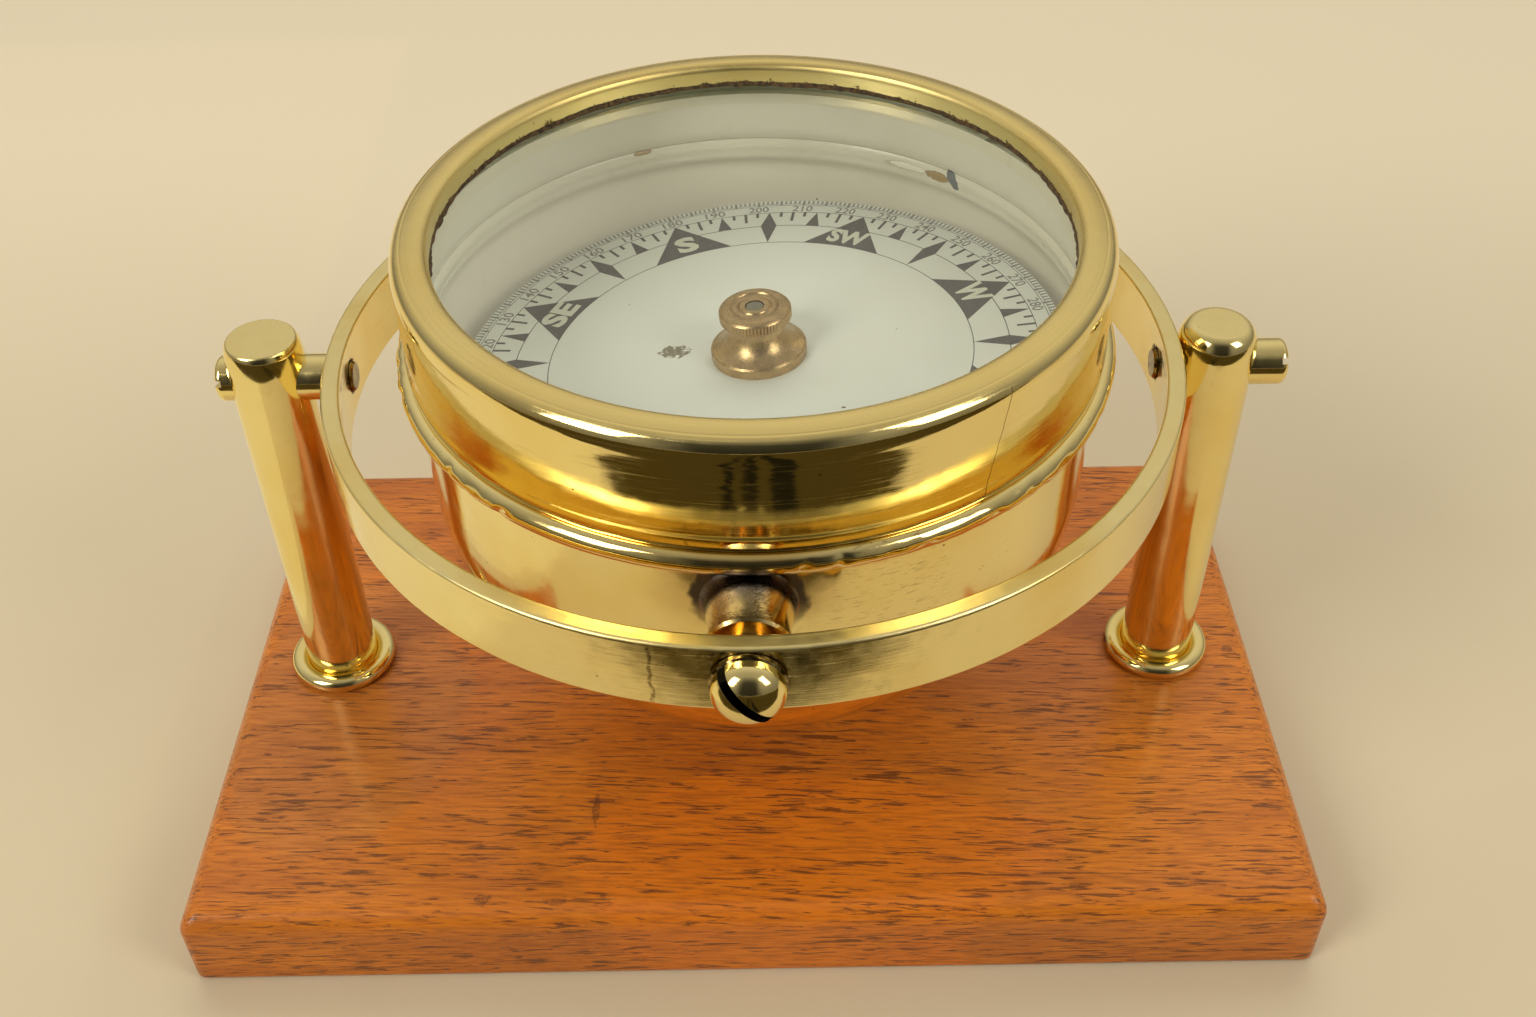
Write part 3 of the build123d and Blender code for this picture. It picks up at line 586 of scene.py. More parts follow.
def varnished_wood():
    """Reddish hardwood with short dark pores along X, under a thin worn varnish."""
    shader = Shader("varnished_wood")
    bend = shader.streaks((0.006, 0.03, 0.03), 2)
    slanted = shader.scaled(shader.place, (1, 1, 1), (0, 0, 0.035))
    bent = shader.moved(slanted, shader.joined(0, bend * 9.0, 0))
    band = shader.streaks((0.01, 0.085, 0.085), 4, 0.55, at=bent)
    colour = shader.mix(shader.ramp(band, 0.32, 0.7), (0.7, 0.205, 0.013), (0.5, 0.135, 0.012))
    patchy = shader.streaks((0.018, 0.03, 0.03), 3)
    colour = shader.mix(shader.ramp(patchy, 0.42, 0.72, 0.0, 0.6), colour, (0.78, 0.25, 0.016))
    x, y, _ = shader.split(shader.place)
    for centre, half, share, tone in WOOD_TONES:
        tone_patch = shader.patch(x, y, centre, half, 0.9, 0.03)
        colour = shader.mix(shader.ramp(tone_patch, 0.0, 1.0) * share, colour, tone)
    fine = shader.streaks((0.15, 1.7, 1.7), 4, 0.62, at=bent)
    colour = shader.mix(shader.ramp(fine, 0.42, 0.7, 0.0, 0.55), colour, (0.3, 0.078, 0.012))
    colour = shader.mix(shader.ramp(fine, 0.46, 0.28, 0.0, 0.35), colour, (0.82, 0.29, 0.026))
    pore_noise = shader.streaks((0.14, 1.6, 1.6), 4, 0.6, 0.5, at=bent)
    clusters = shader.streaks((0.03, 0.1, 0.1), 3, at=bent)
    limit = shader.ramp(clusters, 0.35, 0.65, 0.58, 0.52)
    pores = shader.ramp(pore_noise - limit, 0.0, 0.085)
    colour = shader.mix(pores * 0.8, colour, (0.13, 0.04, 0.01))
    for centre, half in WOOD_MARKS:
        mark = shader.patch(x, y, centre, half, 1.6, 0.9)
        mark = mark * shader.ramp(shader.noise(1.4, 4, 0.7), 0.3, 0.6, 0.15, 0.6)
        colour = shader.mix(mark, colour, (0.085, 0.028, 0.012))
    rough = shader.ramp(fine, 0.3, 0.7, 0.36, 0.46)
    shader.set(Base_Color=colour, Roughness=rough, Specular_IOR_Level=0.3)
    shader.set(Coat_Weight=0.34, Coat_Roughness=0.17, Coat_IOR=1.45)
    grain = fine - pores * 1.2
    wavy = shader.bump(shader.noise(0.06, 2), 0.1)
    shader.set(Normal=shader.bump(grain, 0.03, wavy))
    return shader.material


# Broad tones of the board's top: (x, y), half sizes, strength, colour
WOOD_TONES = (
    ((12, -46), (46, 17), 0.55, (0.8, 0.205, 0.01)),
    ((-78, -10), (22, 34), 0.45, (0.5, 0.19, 0.04)),
    ((60, -8), (34, 12), 0.35, (0.46, 0.15, 0.028)),
)

# Dark marks in the board's top face: (x, y) and half sizes
WOOD_MARKS = (
    ((95.0, 0.6), (1.1, 0.9)),
    ((93.4, -4.2), (2.3, 0.35)),
    ((-28.6, -37.0), (0.6, 3.4)),
    ((-27.2, -35.0), (2.6, 0.4)),
    ((-47.0, -56.0), (1.4, 0.8)),
    ((-34.5, -56.6), (1.9, 0.7)),
)


def window_glass():
    """Clear flat glass: it tints and mirrors a little and lets the light through straight."""
    shader = Shader("window_glass")
    clear = shader.add("BsdfTransparent", 0, {"Color": (0.975, 0.985, 0.965)})
    mirror = shader.add("BsdfGlossy", 0, {"Roughness": 0.015})
    fresnel = shader.add("Fresnel", 0, {"IOR": 1.45})
    inside = shader.add("NewGeometry", "Backfacing", ())
    smear = shader.ramp(shader.noise(0.05, 4, 0.6), 0.45, 0.75, 0.0, 0.02)
    share = (fresnel + smear) * (1.0 - inside)
    shader.feed(shader.output.inputs["Surface"], shader.add("MixShader", 0, (share, clear, mirror)))
    shader.nodes.remove(shader.surface)
    return shader.material


def pale_floor():
    shader = Shader("pale_floor")
    broad = shader.noise(0.006, 4)
    colour = shader.mix(shader.ramp(broad, 0.3, 0.7), (0.66, 0.57, 0.405), (0.7, 0.61, 0.44))
    _, y, _ = shader.split(shader.place)
    # Painted light: the floor lightens towards the back, as if more light fell there
    colour = shader.mix(shader.ramp(y, 20, 260), colour, (0.8, 0.71, 0.53))
    shader.set(Base_Color=colour, Roughness=0.75, Specular_IOR_Level=0.2)
    return shader.material


# ---------------------------------------------------------------- geometry helpers


def new_piece(name, mesh, materials):
    for material in materials:
        mesh.materials.append(material)
    piece = bpy.data.objects.new(name, mesh)
    bpy.context.scene.collection.objects.link(piece)
    return piece


def arc_points(centre, radius, start, end, count):
    """Points on an arc; angles in degrees, 0 along the radius axis, 90 upward."""
    points = []
    for i in range(count + 1):
        angle = math.radians(start + (end - start) * i / count)
        points.append((centre[0] + radius * math.cos(angle), centre[1] + radius * math.sin(angle)))
    return points


def lathe(name, outline, segments, materials, material_of, moved, sharp_angle=32):
    """Closed outline of (radius, height) turned about the bowl's axis.

    moved(azimuth, radius, height) gives the radius and height after dents; material_of(i) is the
    material number of the band that starts at outline point i.
    """
    points = []
    for step in range(segments):
        azimuth = 2 * math.pi * step / segments
        for radius, height in outline:
            radius, height = moved(azimuth, radius, height)
            x = AXIS_X + radius * math.cos(azimuth)
            y = AXIS_Y + radius * math.sin(azimuth)
            points.append((x * MM, y * MM, height * MM))
    return join_sections(name, points, segments, materials, material_of, sharp_angle)


def join_sections(name, points, around, materials, material_of, sharp_angle):
    """Smooth closed piece through equal sections set round an axis."""
    per = len(points) // around
    faces = []
    numbers = []
    for step in range(around):
        here, there = step * per, (step + 1) % around * per
        for i in range(per):
            j = (i + 1) % per
            faces.append((here + i, there + i, there + j, here + j))
            numbers.append(material_of(i))
    mesh = bpy.data.meshes.new(name)
    mesh.from_pydata(points, [], faces)
    piece = new_piece(name, mesh, materials)
    mesh.polygons.foreach_set("material_index", numbers)
    mesh.polygons.foreach_set("use_smooth", [True] * len(faces))
    mesh.update()
    face_outward(mesh)
    mesh.set_sharp_from_angle(angle=math.radians(sharp_angle))
    return piece


def face_outward(mesh):
    built = bmesh.new()
    built.from_mesh(mesh)
    bmesh.ops.recalc_face_normals(built, faces=built.faces)
    built.to_mesh(mesh)
    built.free()


def ripple(azimuth, height, waves, seed):
    """Smooth random value between about -1 and 1 that closes on itself round the bowl."""
    reach = waves / (2 * math.pi)
    place = Vector((math.cos(azimuth) * reach, math.sin(azimuth) * reach, height + seed))
    return noise.noise(place)


# ---------------------------------------------------------------- bowl and bezel


def bowl_belly_points(depth, count):
    """Quarter ellipse from the flat bottom up to the straight wall, the given depth into the metal."""
    across = BOWL_RADIUS - BOWL_FLAT_RADIUS - depth
    down = BOWL_STRAIGHT_Z - BOWL_BOTTOM_Z - depth
    points = []
    for i in range(count + 1):
        angle = math.radians(-90 + 90 * i / count)
        points.append((BOWL_FLAT_RADIUS + across * math.cos(angle), BOWL_STRAIGHT_Z + down * math.sin(angle)))
    return points


def make_bowl(brass, paint):
    bead_meets_wall = math.degrees(math.acos((BOWL_RADIUS - BEAD_CENTRE_RADIUS) / BEAD_RADIUS))
    bead_meets_neck = 165
    inner_wall = BOWL_RADIUS - BOWL_WALL
    outline = [(STEM_HOLE_RADIUS, BOWL_BOTTOM_Z)]
    outline += bowl_belly_points(0, 60)
    outline += [(BOWL_RADIUS, BOWL_STRAIGHT_Z + 3 * i) for i in range(1, 7)]
    outline += arc_points((BEAD_CENTRE_RADIUS, BEAD_Z), BEAD_RADIUS, -bead_meets_wall, bead_meets_neck, 34)
    outline += [(UPSTAND_OUTER, BEAD_Z + 0.6), (UPSTAND_OUTER, UPSTAND_TOP_Z)]
    painted_from = len(outline) - 1
    outline += smooth_through(
        [
            (UPSTAND_INNER + 0.45, UPSTAND_TOP_Z),
            (UPSTAND_INNER + 0.24, UPSTAND_TOP_Z - 0.45),
            (UPSTAND_INNER + 0.05, UPSTAND_TOP_Z - 1.0),
            (UPSTAND_INNER, UPSTAND_TOP_Z - 1.6),
            (UPSTAND_INNER + 0.1, UPSTAND_TOP_Z - 2.3),
            (UPSTAND_INNER + 0.16, UPSTAND_TOP_Z - 2.8),
            (UPSTAND_INNER + 0.16, UPSTAND_TOP_Z - 3.3),
            (UPSTAND_INNER + 0.34, UPSTAND_TOP_Z - 4.0),
            (UPSTAND_INNER + 0.8, UPSTAND_TOP_Z - 4.9),
            (inner_wall - 0.05, UPSTAND_TOP_Z - 6.0),
            (inner_wall, UPSTAND_TOP_Z - 7.5),
        ],
        4,
    )
    outline += [(inner_wall, UPSTAND_TOP_Z - 7.5 - 3.0 * i) for i in range(1, 6)]
    outline += bowl_belly_points(BOWL_WALL, 40)[::-1]
    outline += [(STEM_HOLE_RADIUS, BOWL_BOTTOM_Z + BOWL_WALL)]

    def dented(azimuth, radius, height):
        on_bead = max(0.0, 1 - abs(height - BEAD_Z) / 2.6) if radius > 56.5 else 0.0
        degrees = math.degrees(azimuth) % 360
        hammered = 0.035
        for middle, spread, depth in BEAD_DENTS:
            gap = abs((degrees - middle + 180) % 360 - 180)
            hammered += depth * math.exp(-((gap / spread) ** 2))
        dent = hammered * max(0.0, 0.25 + 1.2 * ripple(azimuth, height * 0.4, 130, 3.1)) * on_bead
        sway = 0.05 * ripple(azimuth, height * 0.04, 9, 7.7) * (1 if 70 < height < 97 else 0.4)
        return radius - dent + sway, height

    last_wall = len(outline) - 2
    piece = lathe(
        "bowl", outline, 720, [brass, paint],
        lambda i: 1 if painted_from <= i <= last_wall else 0, dented,
    )
    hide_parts("bowl_shell")
    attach(piece, "bowl")


def make_seat_ring(paint):
    """Painted ring that carries the glass; its lower edge meets the bowl's roll in a soft hollow."""
    bottom = SEAT_RING_BOTTOM_Z
    outline = [(UPSTAND_OUTER, SEAT_RING_TOP_Z), (UPSTAND_OUTER, bottom)]
    outline += smooth_through(
        [
            (SEAT_RING_INNER + 0.65, bottom),
            (SEAT_RING_INNER + 0.4, bottom + 0.5),
            (SEAT_RING_INNER + 0.14, bottom + 1.3),
            (SEAT_RING_INNER, bottom + 2.4),
            (SEAT_RING_INNER, bottom + 4.0),
        ],
        4,
    )
    outline += [(SEAT_RING_INNER, SEAT_RING_TOP_Z)]

    def uneven(azimuth, radius, height):
        return radius + 0.03 * ripple(azimuth, height * 0.05, 11, 2.9), height

    piece = lathe("seat_ring", outline, 540, [paint], lambda i: 0, uneven)
    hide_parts("glass_seat_ring")
    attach(piece, "bowl")


# Hammered stretches of the bead: azimuth, spread in degrees, depth
BEAD_DENTS = (
    (220, 4.0, 1.0),
    (228.5, 3.5, 1.2),
    (192, 9, 0.5),
    (262, 10, 0.05),
    (276.5, 0.9, 0.9),
    (281.5, 1.1, 0.9),
    (293, 5, 0.25),
    (316, 16, 0.5),
    (80, 30, 0.12),
)


def make_bezel(brass):
    foot_top = BEZEL_BOTTOM_Z + 2.6
    top = BEZEL_TOP_Z
    outline = [
        (BEZEL_SKIRT_INNER, BEZEL_BOTTOM_Z + 0.15),
        (BEZEL_SKIRT_INNER + 0.15, BEZEL_BOTTOM_Z),
        (BEZEL_RADIUS - 0.12, BEZEL_BOTTOM_Z),
        (BEZEL_RADIUS + 0.06, BEZEL_BOTTOM_Z + 0.1),
        (BEZEL_RADIUS + 0.12, BEZEL_BOTTOM_Z + 0.4),
        (BEZEL_RADIUS + 0.12, foot_top - 0.5),
        (BEZEL_RADIUS + 0.05, foot_top - 0.1),
        (BEZEL_RADIUS, foot_top + 0.4),
    ]
    outline += [(BEZEL_RADIUS, foot_top + 0.4 + 1.6 * i) for i in range(1, 8)]
    outline += smooth_through(
        [
            (BEZEL_RADIUS, top - 4.4),
            (BEZEL_RADIUS + 0.03, top - 3.3),
            (BEZEL_RADIUS - 0.1, top - 2.3),
            (BEZEL_RADIUS - 0.48, top - 1.45),
            (BEZEL_RADIUS - 1.05, top - 0.82),
            (BEZEL_RADIUS - 1.62, top - 0.5),
            (BEZEL_RADIUS - 1.95, top - 0.46),
            (BEZEL_RADIUS - 2.3, top - 0.33),
            (BEZEL_RADIUS - 3.4, top - 0.08),
            (BEZEL_OPENING + 1.7, top - 0.02),
            (BEZEL_OPENING + 0.95, top - 0.14),
            (BEZEL_OPENING + 0.36, top - 0.55),
            (BEZEL_OPENING + 0.06, top - 1.15),
            (BEZEL_OPENING, top - 1.8),
        ],
        5,
    )
    outline += [(BEZEL_OPENING, LIP_BOTTOM_Z + 1.55), (BEZEL_OPENING, LIP_BOTTOM_Z)]
    outline += [(BEZEL_SKIRT_INNER, LIP_BOTTOM_Z)]

    def beaten(azimuth, radius, height):
        if radius < BEZEL_SKIRT_INNER + 0.5:
            return radius, height
        sway = 0.06 * ripple(azimuth, height * 0.05, 7, 1.3)
        foot = max(0.0, 1 - (height - BEZEL_BOTTOM_Z) / 2.4)
        dent = 0.05 * foot * ripple(azimuth, 0, 60, 5.5)
        return radius + sway - abs(dent), height

    piece = lathe("bezel_cap", outline, 720, [brass], lambda i: 0, beaten, 40)
    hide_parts("bezel")
    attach(piece, "bowl")


def smooth_through(points, steps):
    """Points of a smooth curve through the given points, with the given steps between each pair."""
    curve = []
    for i in range(len(points) - 1):
        before = points[max(i - 1, 0)]
        start, end = points[i], points[i + 1]
        after = points[min(i + 2, len(points) - 1)]
        for step in range(steps):
            t = step / steps
            place = []
            for a, b, c, d in zip(before, start, end, after):
                bend = 2 * a - 5 * b + 4 * c - d
                turn = 3 * b - a - 3 * c + d
                place.append(0.5 * (2 * b + (c - a) * t + bend * t * t + turn * t * t * t))
            curve.append(tuple(place))
    curve.append(points[-1])
    return curve


def make_putty(material):
    """Ragged bead of putty between the glass and the lip."""
    outline = [
        (PUTTY_REACH, GLASS_TOP_Z + 0.01),
        (BEZEL_OPENING - 0.01, GLASS_TOP_Z + 0.01),
        (BEZEL_OPENING - 0.01, GLASS_TOP_Z + 0.8),
        (BEZEL_OPENING - 0.45, GLASS_TOP_Z + 0.42),
    ]

    def ragged(azimuth, radius, height):
        if radius > BEZEL_OPENING - 0.1:
            if height > GLASS_TOP_Z + 0.5:
                height += 0.25 * ripple(azimuth, 0, 180, 2.2) + 0.2 * ripple(azimuth, 0, 40, 8.2)
            return radius, height
        creep = 0.75 * ripple(azimuth, 0, 55, 4.4) + 0.5 * ripple(azimuth, 0, 210, 9.9)
        free = BEZEL_OPENING - radius
        return BEZEL_OPENING - free * max(0.1, 0.3 + 0.75 * creep), height

    piece = lathe("putty", outline, 1080, [material], lambda i: 0, ragged, 60)
    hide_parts("glass_putty")
    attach(piece, "bowl")


def make_solder_fillet(name, node, side, material):
    """Smooth uneven fillet between the bowl wall and a boss; side is -1 for the front, +1 for the rear."""
    turn = Matrix.Rotation(math.radians(90 * side + TILT_TURN), 4, "Z")
    around, along = 160, 10
    points = []
    for i in range(around):
        angle = 2 * math.pi * i / around
        waver = ripple(angle, 0, 5, 6.1 + side)
        foot = SOLDER_FOOT_RADIUS + 0.5 * waver
        top = SOLDER_TOP_DISTANCE + 0.6 * waver
        wall = math.sqrt(BOWL_RADIUS ** 2 - (foot * math.cos(angle)) ** 2)
        section = [(wall - 0.9, BOSS_RADIUS - 0.6), (wall - 0.9, foot), (wall - 0.05, foot)]
        for k in range(1, along + 1):
            t = k / along
            distance = wall + (top - wall) * t ** 1.6
            section.append((distance, BOSS_RADIUS + 0.02 + (foot - BOSS_RADIUS) * (1 - t) ** 1.6))
        section.append((top, BOSS_RADIUS - 0.6))
        for distance, radius in section:
            place = turn @ Vector((distance, radius * math.cos(angle), radius * math.sin(angle)))
            points.append(Vector((GIMBAL_X + place.x, AXIS_Y + place.y, AXIS_Z + place.z)) * MM)
    piece = join_sections(name, points, around, [material], lambda i: 0, 50)
    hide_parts(node)
    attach(piece, "bowl")


# ---------------------------------------------------------------- printed card


def card_matrix():
    """From the card's own drawing (north along +Y, face at height 0) to the row frame, in millimetres."""
    heading = math.radians(CARD_LEAN_HEADING)
    lean_axis = Vector((math.cos(heading), math.sin(heading), 0))
    place = Matrix.Translation((AXIS_X, AXIS_Y, PIVOT_Z))
    lean = Matrix.Rotation(math.radians(CARD_LEAN), 4, lean_axis)
    turn = Matrix.Rotation(math.radians(CARD_NORTH_TURN), 4, "Z")
    drop = Matrix.Translation((0, 0, -CARD_DROP))
    return place @ lean @ turn @ drop


def at_bearing(bearing, radius, sideways=0.0):
    """Point on the card at a compass bearing, in degrees clockwise from north, moved sideways."""
    angle = math.radians(bearing)
    outward = Vector((math.sin(angle), math.cos(angle), 0))
    across = Vector((math.cos(angle), -math.sin(angle), 0))
    return outward * radius + across * sideways


def add_plate(built, corners):
    """Thin closed plate of ink over a flat outline that runs clockwise."""
    low = [built.verts.new((c.x, c.y, INK_BOTTOM)) for c in corners[::-1]]
    high = [built.verts.new((c.x, c.y, INK_TOP)) for c in corners[::-1]]
    built.faces.new(high)
    built.faces.new(low[::-1])
    for i in range(len(corners)):
        j = (i + 1) % len(corners)
        built.faces.new((low[i], low[j], high[j], high[i]))


def add_circle_line(built, radius, width, steps=360):
    inner, outer = radius - width / 2, radius + width / 2
    section = ((inner, INK_BOTTOM), (outer, INK_BOTTOM), (outer, INK_TOP), (inner, INK_TOP))
    rings = []
    for i in range(steps):
        angle = 2 * math.pi * i / steps
        ray = Vector((math.cos(angle), math.sin(angle)))
        rings.append([built.verts.new((ray.x * r, ray.y * r, h)) for r, h in section])
    for i in range(steps):
        here, there = rings[i], rings[(i + 1) % steps]
        for k in range(4):
            n = (k + 1) % 4
            built.faces.new((here[k], there[k], there[n], here[n]))


def add_ticks(built, bearing_step, skip, start, end, width):
    """Radial strokes at every multiple of bearing_step, except where skip(index) is true."""
    for index in range(round(360 / bearing_step)):
        if skip(index):
            continue
        bearing = index * bearing_step
        corners = [
            at_bearing(bearing, start, -width / 2),
            at_bearing(bearing, start, width / 2),
            at_bearing(bearing, end, width / 2),
            at_bearing(bearing, end, -width / 2),
        ]
        add_plate(built, corners)


def add_text(built, text, height, width, bearing, radius, bold, bottom, top):
    """Letters whose tops point outward, scaled to the given height and width."""
    curve = bpy.data.curves.new("lettering", "FONT")
    curve.body = text
    curve.size = 1.0
    curve.offset = bold
    curve.extrude = 0.05
    curve.resolution_u = 3
    source = bpy.data.objects.new("lettering", curve)
    bpy.context.scene.collection.objects.link(source)
    bpy.context.view_layer.update()
    ready = source.evaluated_get(bpy.context.evaluated_depsgraph_get())
    mesh = bpy.data.meshes.new_from_object(ready)
    low = Vector([min(v.co[k] for v in mesh.vertices) for k in range(3)])
    high = Vector([max(v.co[k] for v in mesh.vertices) for k in range(3)])
    middle = (low + high) / 2
    size = high - low
    scale = Matrix.Diagonal((width / size.x, height / size.y, (top - bottom) / size.z, 1))
    turn = Matrix.Rotation(-math.radians(bearing), 4, "Z")
    place = at_bearing(bearing, radius)
    place.z = (bottom + top) / 2
    mesh.transform(Matrix.Translation(place) @ turn @ scale @ Matrix.Translation(-middle))
    built.from_mesh(mesh)
    bpy.data.objects.remove(source)
    bpy.data.curves.remove(curve)
    bpy.data.meshes.remove(mesh)


def finish_print(built, name, material):
    bmesh.ops.remove_doubles(built, verts=built.verts, dist=1e-5)
    bmesh.ops.recalc_face_normals(built, faces=built.faces)
    mesh = bpy.data.meshes.new(name)
    built.to_mesh(mesh)
    built.free()
    mesh.transform(Matrix.Scale(MM, 4) @ card_matrix())
    piece = new_piece(name, mesh, [material])
    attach(piece, "card")


POINT_NAMES = ("N", "NE", "E", "SE", "S", "SW", "W", "NW")


def make_dark_print(material):
    built = bmesh.new()
    add_circle_line(built, INNER_CIRCLE, 0.16)
    add_circle_line(built, MIDDLE_CIRCLE, 0.16)
    add_circle_line(built, TICK_CIRCLE, 0.14)
    for index in range(8):
        bearing = 45 * index
        corners = [
            at_bearing(bearing - 11.78, INNER_CIRCLE),
            at_bearing(bearing - 6, INNER_CIRCLE),
            at_bearing(bearing, INNER_CIRCLE),
            at_bearing(bearing + 6, INNER_CIRCLE),
            at_bearing(bearing + 11.78, INNER_CIRCLE),
            at_bearing(bearing, TICK_CIRCLE),
        ]
        add_plate(built, corners)
        between = bearing + 22.5
        corners = [
            at_bearing(between, INNER_CIRCLE + 0.1),
            at_bearing(between, MIDDLE_CIRCLE, 1.5),
            at_bearing(between, TICK_CIRCLE + 0.1),
            at_bearing(between, MIDDLE_CIRCLE, -1.5),
        ]
        add_plate(built, corners)
    for index in range(16):
        bearing = 11.25 + 22.5 * index
        corners = [
            at_bearing(bearing, MIDDLE_CIRCLE, -1.3),
            at_bearing(bearing, MIDDLE_CIRCLE, 1.3),
            at_bearing(bearing, TICK_CIRCLE),
        ]
        add_plate(built, corners)
    quarter_point = 2.8125
    add_ticks(built, quarter_point, lambda i: i % 4 in (0, 2), TICK_CIRCLE - 1.6, TICK_CIRCLE, 0.55)
    add_ticks(built, quarter_point, lambda i: i % 4 != 2, TICK_CIRCLE - 3.2, TICK_CIRCLE, 0.55)
    finish_print(built, "card_print", material)


def make_rim_print(material):
    """Paler degree strokes and numbers round the card's edge."""
    built = bmesh.new()
    add_circle_line(built, FIRST_RIM_CIRCLE, 0.15)
    add_circle_line(built, SECOND_RIM_CIRCLE, 0.13)
    add_ticks(built, 1.0, lambda i: i % 5 == 0, SECOND_RIM_CIRCLE, CARD_RADIUS - 0.06, 0.34)
    add_ticks(built, 5.0, lambda i: False, FIRST_RIM_CIRCLE, CARD_RADIUS - 0.06, 0.46)
    for index in range(36):
        number = str(index * 10)
        width = 1.3 * len(number)
        add_text(built, number, 2.05, width, index * 10, NUMERAL_RADIUS, 0.014, INK_BOTTOM, INK_TOP)
    finish_print(built, "card_rim_print", material)


def make_white_letters(material):
    built = bmesh.new()
    for index, letters in enumerate(POINT_NAMES):
        width = 7.6 if len(letters) == 2 else (5.9 if letters == "W" else 4.1)
        height = 4.7 if len(letters) == 2 else 5.5
        radius = LETTER_RADIUS - (0.5 if len(letters) == 2 else 0.0)
        add_text(built, letters, height, width, 45 * index, radius, 0.046, INK_TOP, LETTER_TOP)
    finish_print(built, "card_letters", material)


# ---------------------------------------------------------------- CAD nodes kept as they are


def paint_nodes(material, *names):
    for name in names:
        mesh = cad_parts[name].data
        mesh.materials.clear()
        mesh.materials.append(material)


# ---------------------------------------------------------------- stage


def make_plane(name, centre, half_x, half_y, material):
    mesh = bpy.data.meshes.new(name)
    corners = [(-half_x, -half_y, 0), (half_x, -half_y, 0), (half_x, half_y, 0), (-half_x, half_y, 0)]
    mesh.from_pydata([Vector(c) + Vector(centre) for c in corners], [], [(0, 1, 2, 3)])
    plane = new_piece(name, mesh, [material])
    return plane


def flat_light(name, colour):
    material = bpy.data.materials.new(name)
    tree = NodeTree(material)
    tree.nodes.clear()
    out = tree.nodes.new("ShaderNodeOutputMaterial")
    tree.feed(out.inputs["Surface"], tree.add("Emission", 0, {"Color": colour, "Strength": 1.0}))
    return material


def only_in_reflections(obj):
    obj.visible_camera = False
    obj.visible_diffuse = False
    obj.visible_shadow = False
    obj.visible_transmission = False


def make_floor():
    make_plane("floor", (0, 0, -0.0002), 4.0, 4.0, pale_floor())
    room = flat_light("dark_room", (0.06, 0.042, 0.012))
    stripe = flat_light("dark_stripe", (0.012, 0.01, 0.006))
    edge_y = -0.139
    only_in_reflections(make_plane("room_card", (0, edge_y - 0.9, 0.001), 1.4, 0.9, room))
    bright = flat_light("bright_paper", (0.8, 0.68, 0.43))
    only_in_reflections(make_plane("bright_card", (-0.36, -0.02, 0.0008), 0.24, 0.34, bright))
    for x, half in ((-0.022, 0.004), (-0.004, 0.006), (0.024, 0.01)):
        stripe_card = make_plane("stripe_card", (x, edge_y - 0.3, 0.0014), half, 0.29, stripe)
        only_in_reflections(stripe_card)


def make_area_light(name, place, aim, size_x, size_y, watts, colour, in_reflections=True):
    lamp = bpy.data.lights.new(name, "AREA")
    lamp.shape = "RECTANGLE"
    lamp.size = size_x
    lamp.size_y = size_y
    lamp.energy = watts
    lamp.color = colour
    holder = bpy.data.objects.new(name, lamp)
    holder.location = place
    holder.rotation_mode = "QUATERNION"
    holder.rotation_quaternion = (Vector(aim) - Vector(place)).to_track_quat("-Z", "Y")
    holder.visible_glossy = in_reflections
    bpy.context.scene.collection.objects.link(holder)


def make_lights():
    aim = (0.0, 0.0, 0.07)
    warm = (1.0, 0.95, 0.84)
    make_area_light("left_window", (-0.78, -0.62, 0.8), aim, 0.42, 0.6, 6.3, warm)
    make_area_light("right_window", (0.84, -0.52, 0.8), aim, 0.42, 0.6, 3.9, warm)
    make_area_light("top_soft", (0.0, 0.75, 1.1), aim, 1.5, 0.9, 5.6, warm, False)


def make_world():
    world = bpy.data.worlds.new("room")
    bpy.context.scene.world = world
    tree = NodeTree(world)
    tree.nodes.clear()
    x, y, z = tree.split(tree.add("TexCoord", "Generated", ()))
    back = tree.ramp(y, -0.3, 0.75) * tree.ramp(z, -0.1, 0.7)
    sky = tree.ramp(z, -0.1, 0.75, 0.2, 0.36) + back * 0.34
    ahead = tree.ramp(y, -0.25, -0.80)
    sides = tree.ramp(abs(x), 0.25, 0.6, 1.0, 0.0)
    level = sky * (1.0 - ahead * sides * 0.88)

    room_light = tree.add("Background", 0, {"Color": (1.0, 0.93, 0.8), "Strength": level})
    seen = tree.add("Background", 0, {"Color": (0.7, 0.61, 0.45), "Strength": 1.0})
    camera_ray = tree.add("LightPath", "Is Camera Ray", ())
    out = tree.nodes.new("ShaderNodeOutputWorld")
    tree.feed(out.inputs["Surface"], tree.add("MixShader", 0, (camera_ray, room_light, seen)))


def make_camera():
    forward = Vector((
        math.sin(CAMERA_YAW) * math.cos(CAMERA_PITCH),
        math.cos(CAMERA_YAW) * math.cos(CAMERA_PITCH),
        -math.sin(CAMERA_PITCH),
    ))
    level_right = forward.cross(Vector((0, 0, 1))).normalized()
    level_up = level_right.cross(forward)
    right = math.cos(CAMERA_ROLL) * level_right + math.sin(CAMERA_ROLL) * level_up
    up = math.cos(CAMERA_ROLL) * level_up - math.sin(CAMERA_ROLL) * level_right
    matrix = Matrix((right, up, -forward)).transposed().to_4x4()
    matrix.translation = Vector(CAMERA_PLACE) * MM
    data = bpy.data.cameras.new("camera")
    data.lens = CAMERA_LENS
    data.sensor_width = 36.0
    data.clip_start = 0.01
    data.clip_end = 20.0
    camera = bpy.data.objects.new("camera", data)
    bpy.context.scene.collection.objects.link(camera)
    camera.matrix_world = matrix
    bpy.context.scene.camera = camera


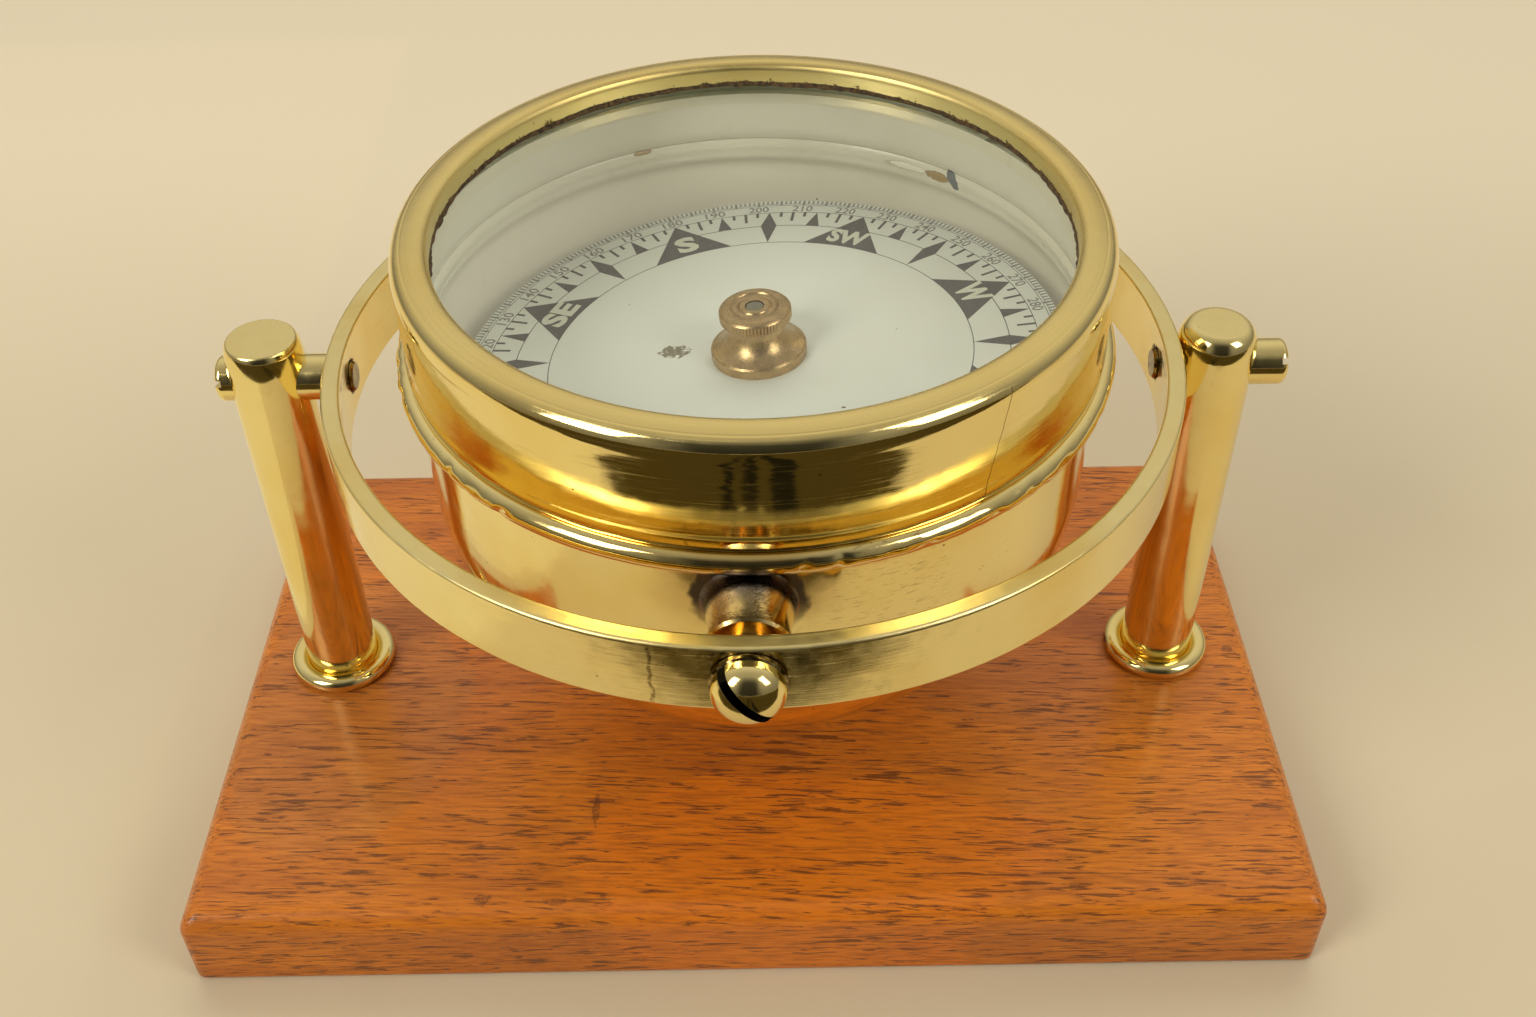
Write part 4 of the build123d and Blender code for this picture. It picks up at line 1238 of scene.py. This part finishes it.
def set_picture():
    scene = bpy.context.scene
    scene.view_settings.view_transform = "Standard"
    scene.view_settings.look = "None"
    scene.view_settings.exposure = 0.0
    scene.cycles.use_denoising = True
    scene.cycles.max_bounces = 12
    scene.cycles.glossy_bounces = 8
    scene.cycles.transparent_max_bounces = 12
    scene.cycles.sample_clamp_indirect = 6.0


def main():
    brass = polished_brass()
    bronze = aged_bronze()
    steel = plain_steel()
    paint = enamel()
    paper = card_paper()

    make_bowl(bowl_brass(), paint)
    make_seat_ring(paint)
    make_bezel(bezel_brass())
    make_putty(old_putty())
    make_dark_print(printed_ink("dark_ink", (0.115, 0.105, 0.108), (0.155, 0.145, 0.145), 0.8))
    make_rim_print(printed_ink("faded_ink", (0.25, 0.245, 0.24), (0.33, 0.32, 0.31), 0.5))
    make_white_letters(printed_ink("bare_paper", (0.72, 0.73, 0.65), (0.66, 0.67, 0.58), 0.0))

    paint_nodes(varnished_wood(), "base_board")
    paint_nodes(brass, "left_post", "right_post", "left_post_collar", "right_post_collar")
    paint_nodes(brass, "left_gimbal_pin", "right_gimbal_pin")
    paint_nodes(pivot_screw_brass(), "front_pivot_screw", "rear_pivot_screw")
    paint_nodes(brass, "front_screw_collar", "rear_screw_collar", "pivot_stem", "stem_washer", "stem_nut")
    paint_nodes(brushed_ring_brass(), "gimbal_ring")
    soldered = soldered_brass()
    paint_nodes(soldered, "front_boss", "rear_boss")
    make_solder_fillet("front_fillet", "front_solder", -1, soldered)
    make_solder_fillet("rear_fillet", "rear_solder", 1, soldered)
    paint_nodes(window_glass(), "glass")
    paint_nodes(steel, "post_screws", "post_screw_washers", "pivot_point", "left_magnet", "right_magnet")
    paint_nodes(dull_lead(), "ballast_weight")
    paint_nodes(paper, "compass_card")
    paint_nodes(bronze, "card_boss", "cap_nut", "magnet_carrier", "carrier_nut")
    paint_nodes(bronze, "magnet_straps", "strap_rivets")
    paint_nodes(grey_jewel(), "jewel_cap")

    make_floor()
    make_lights()
    make_world()
    make_camera()
    set_picture()


main()
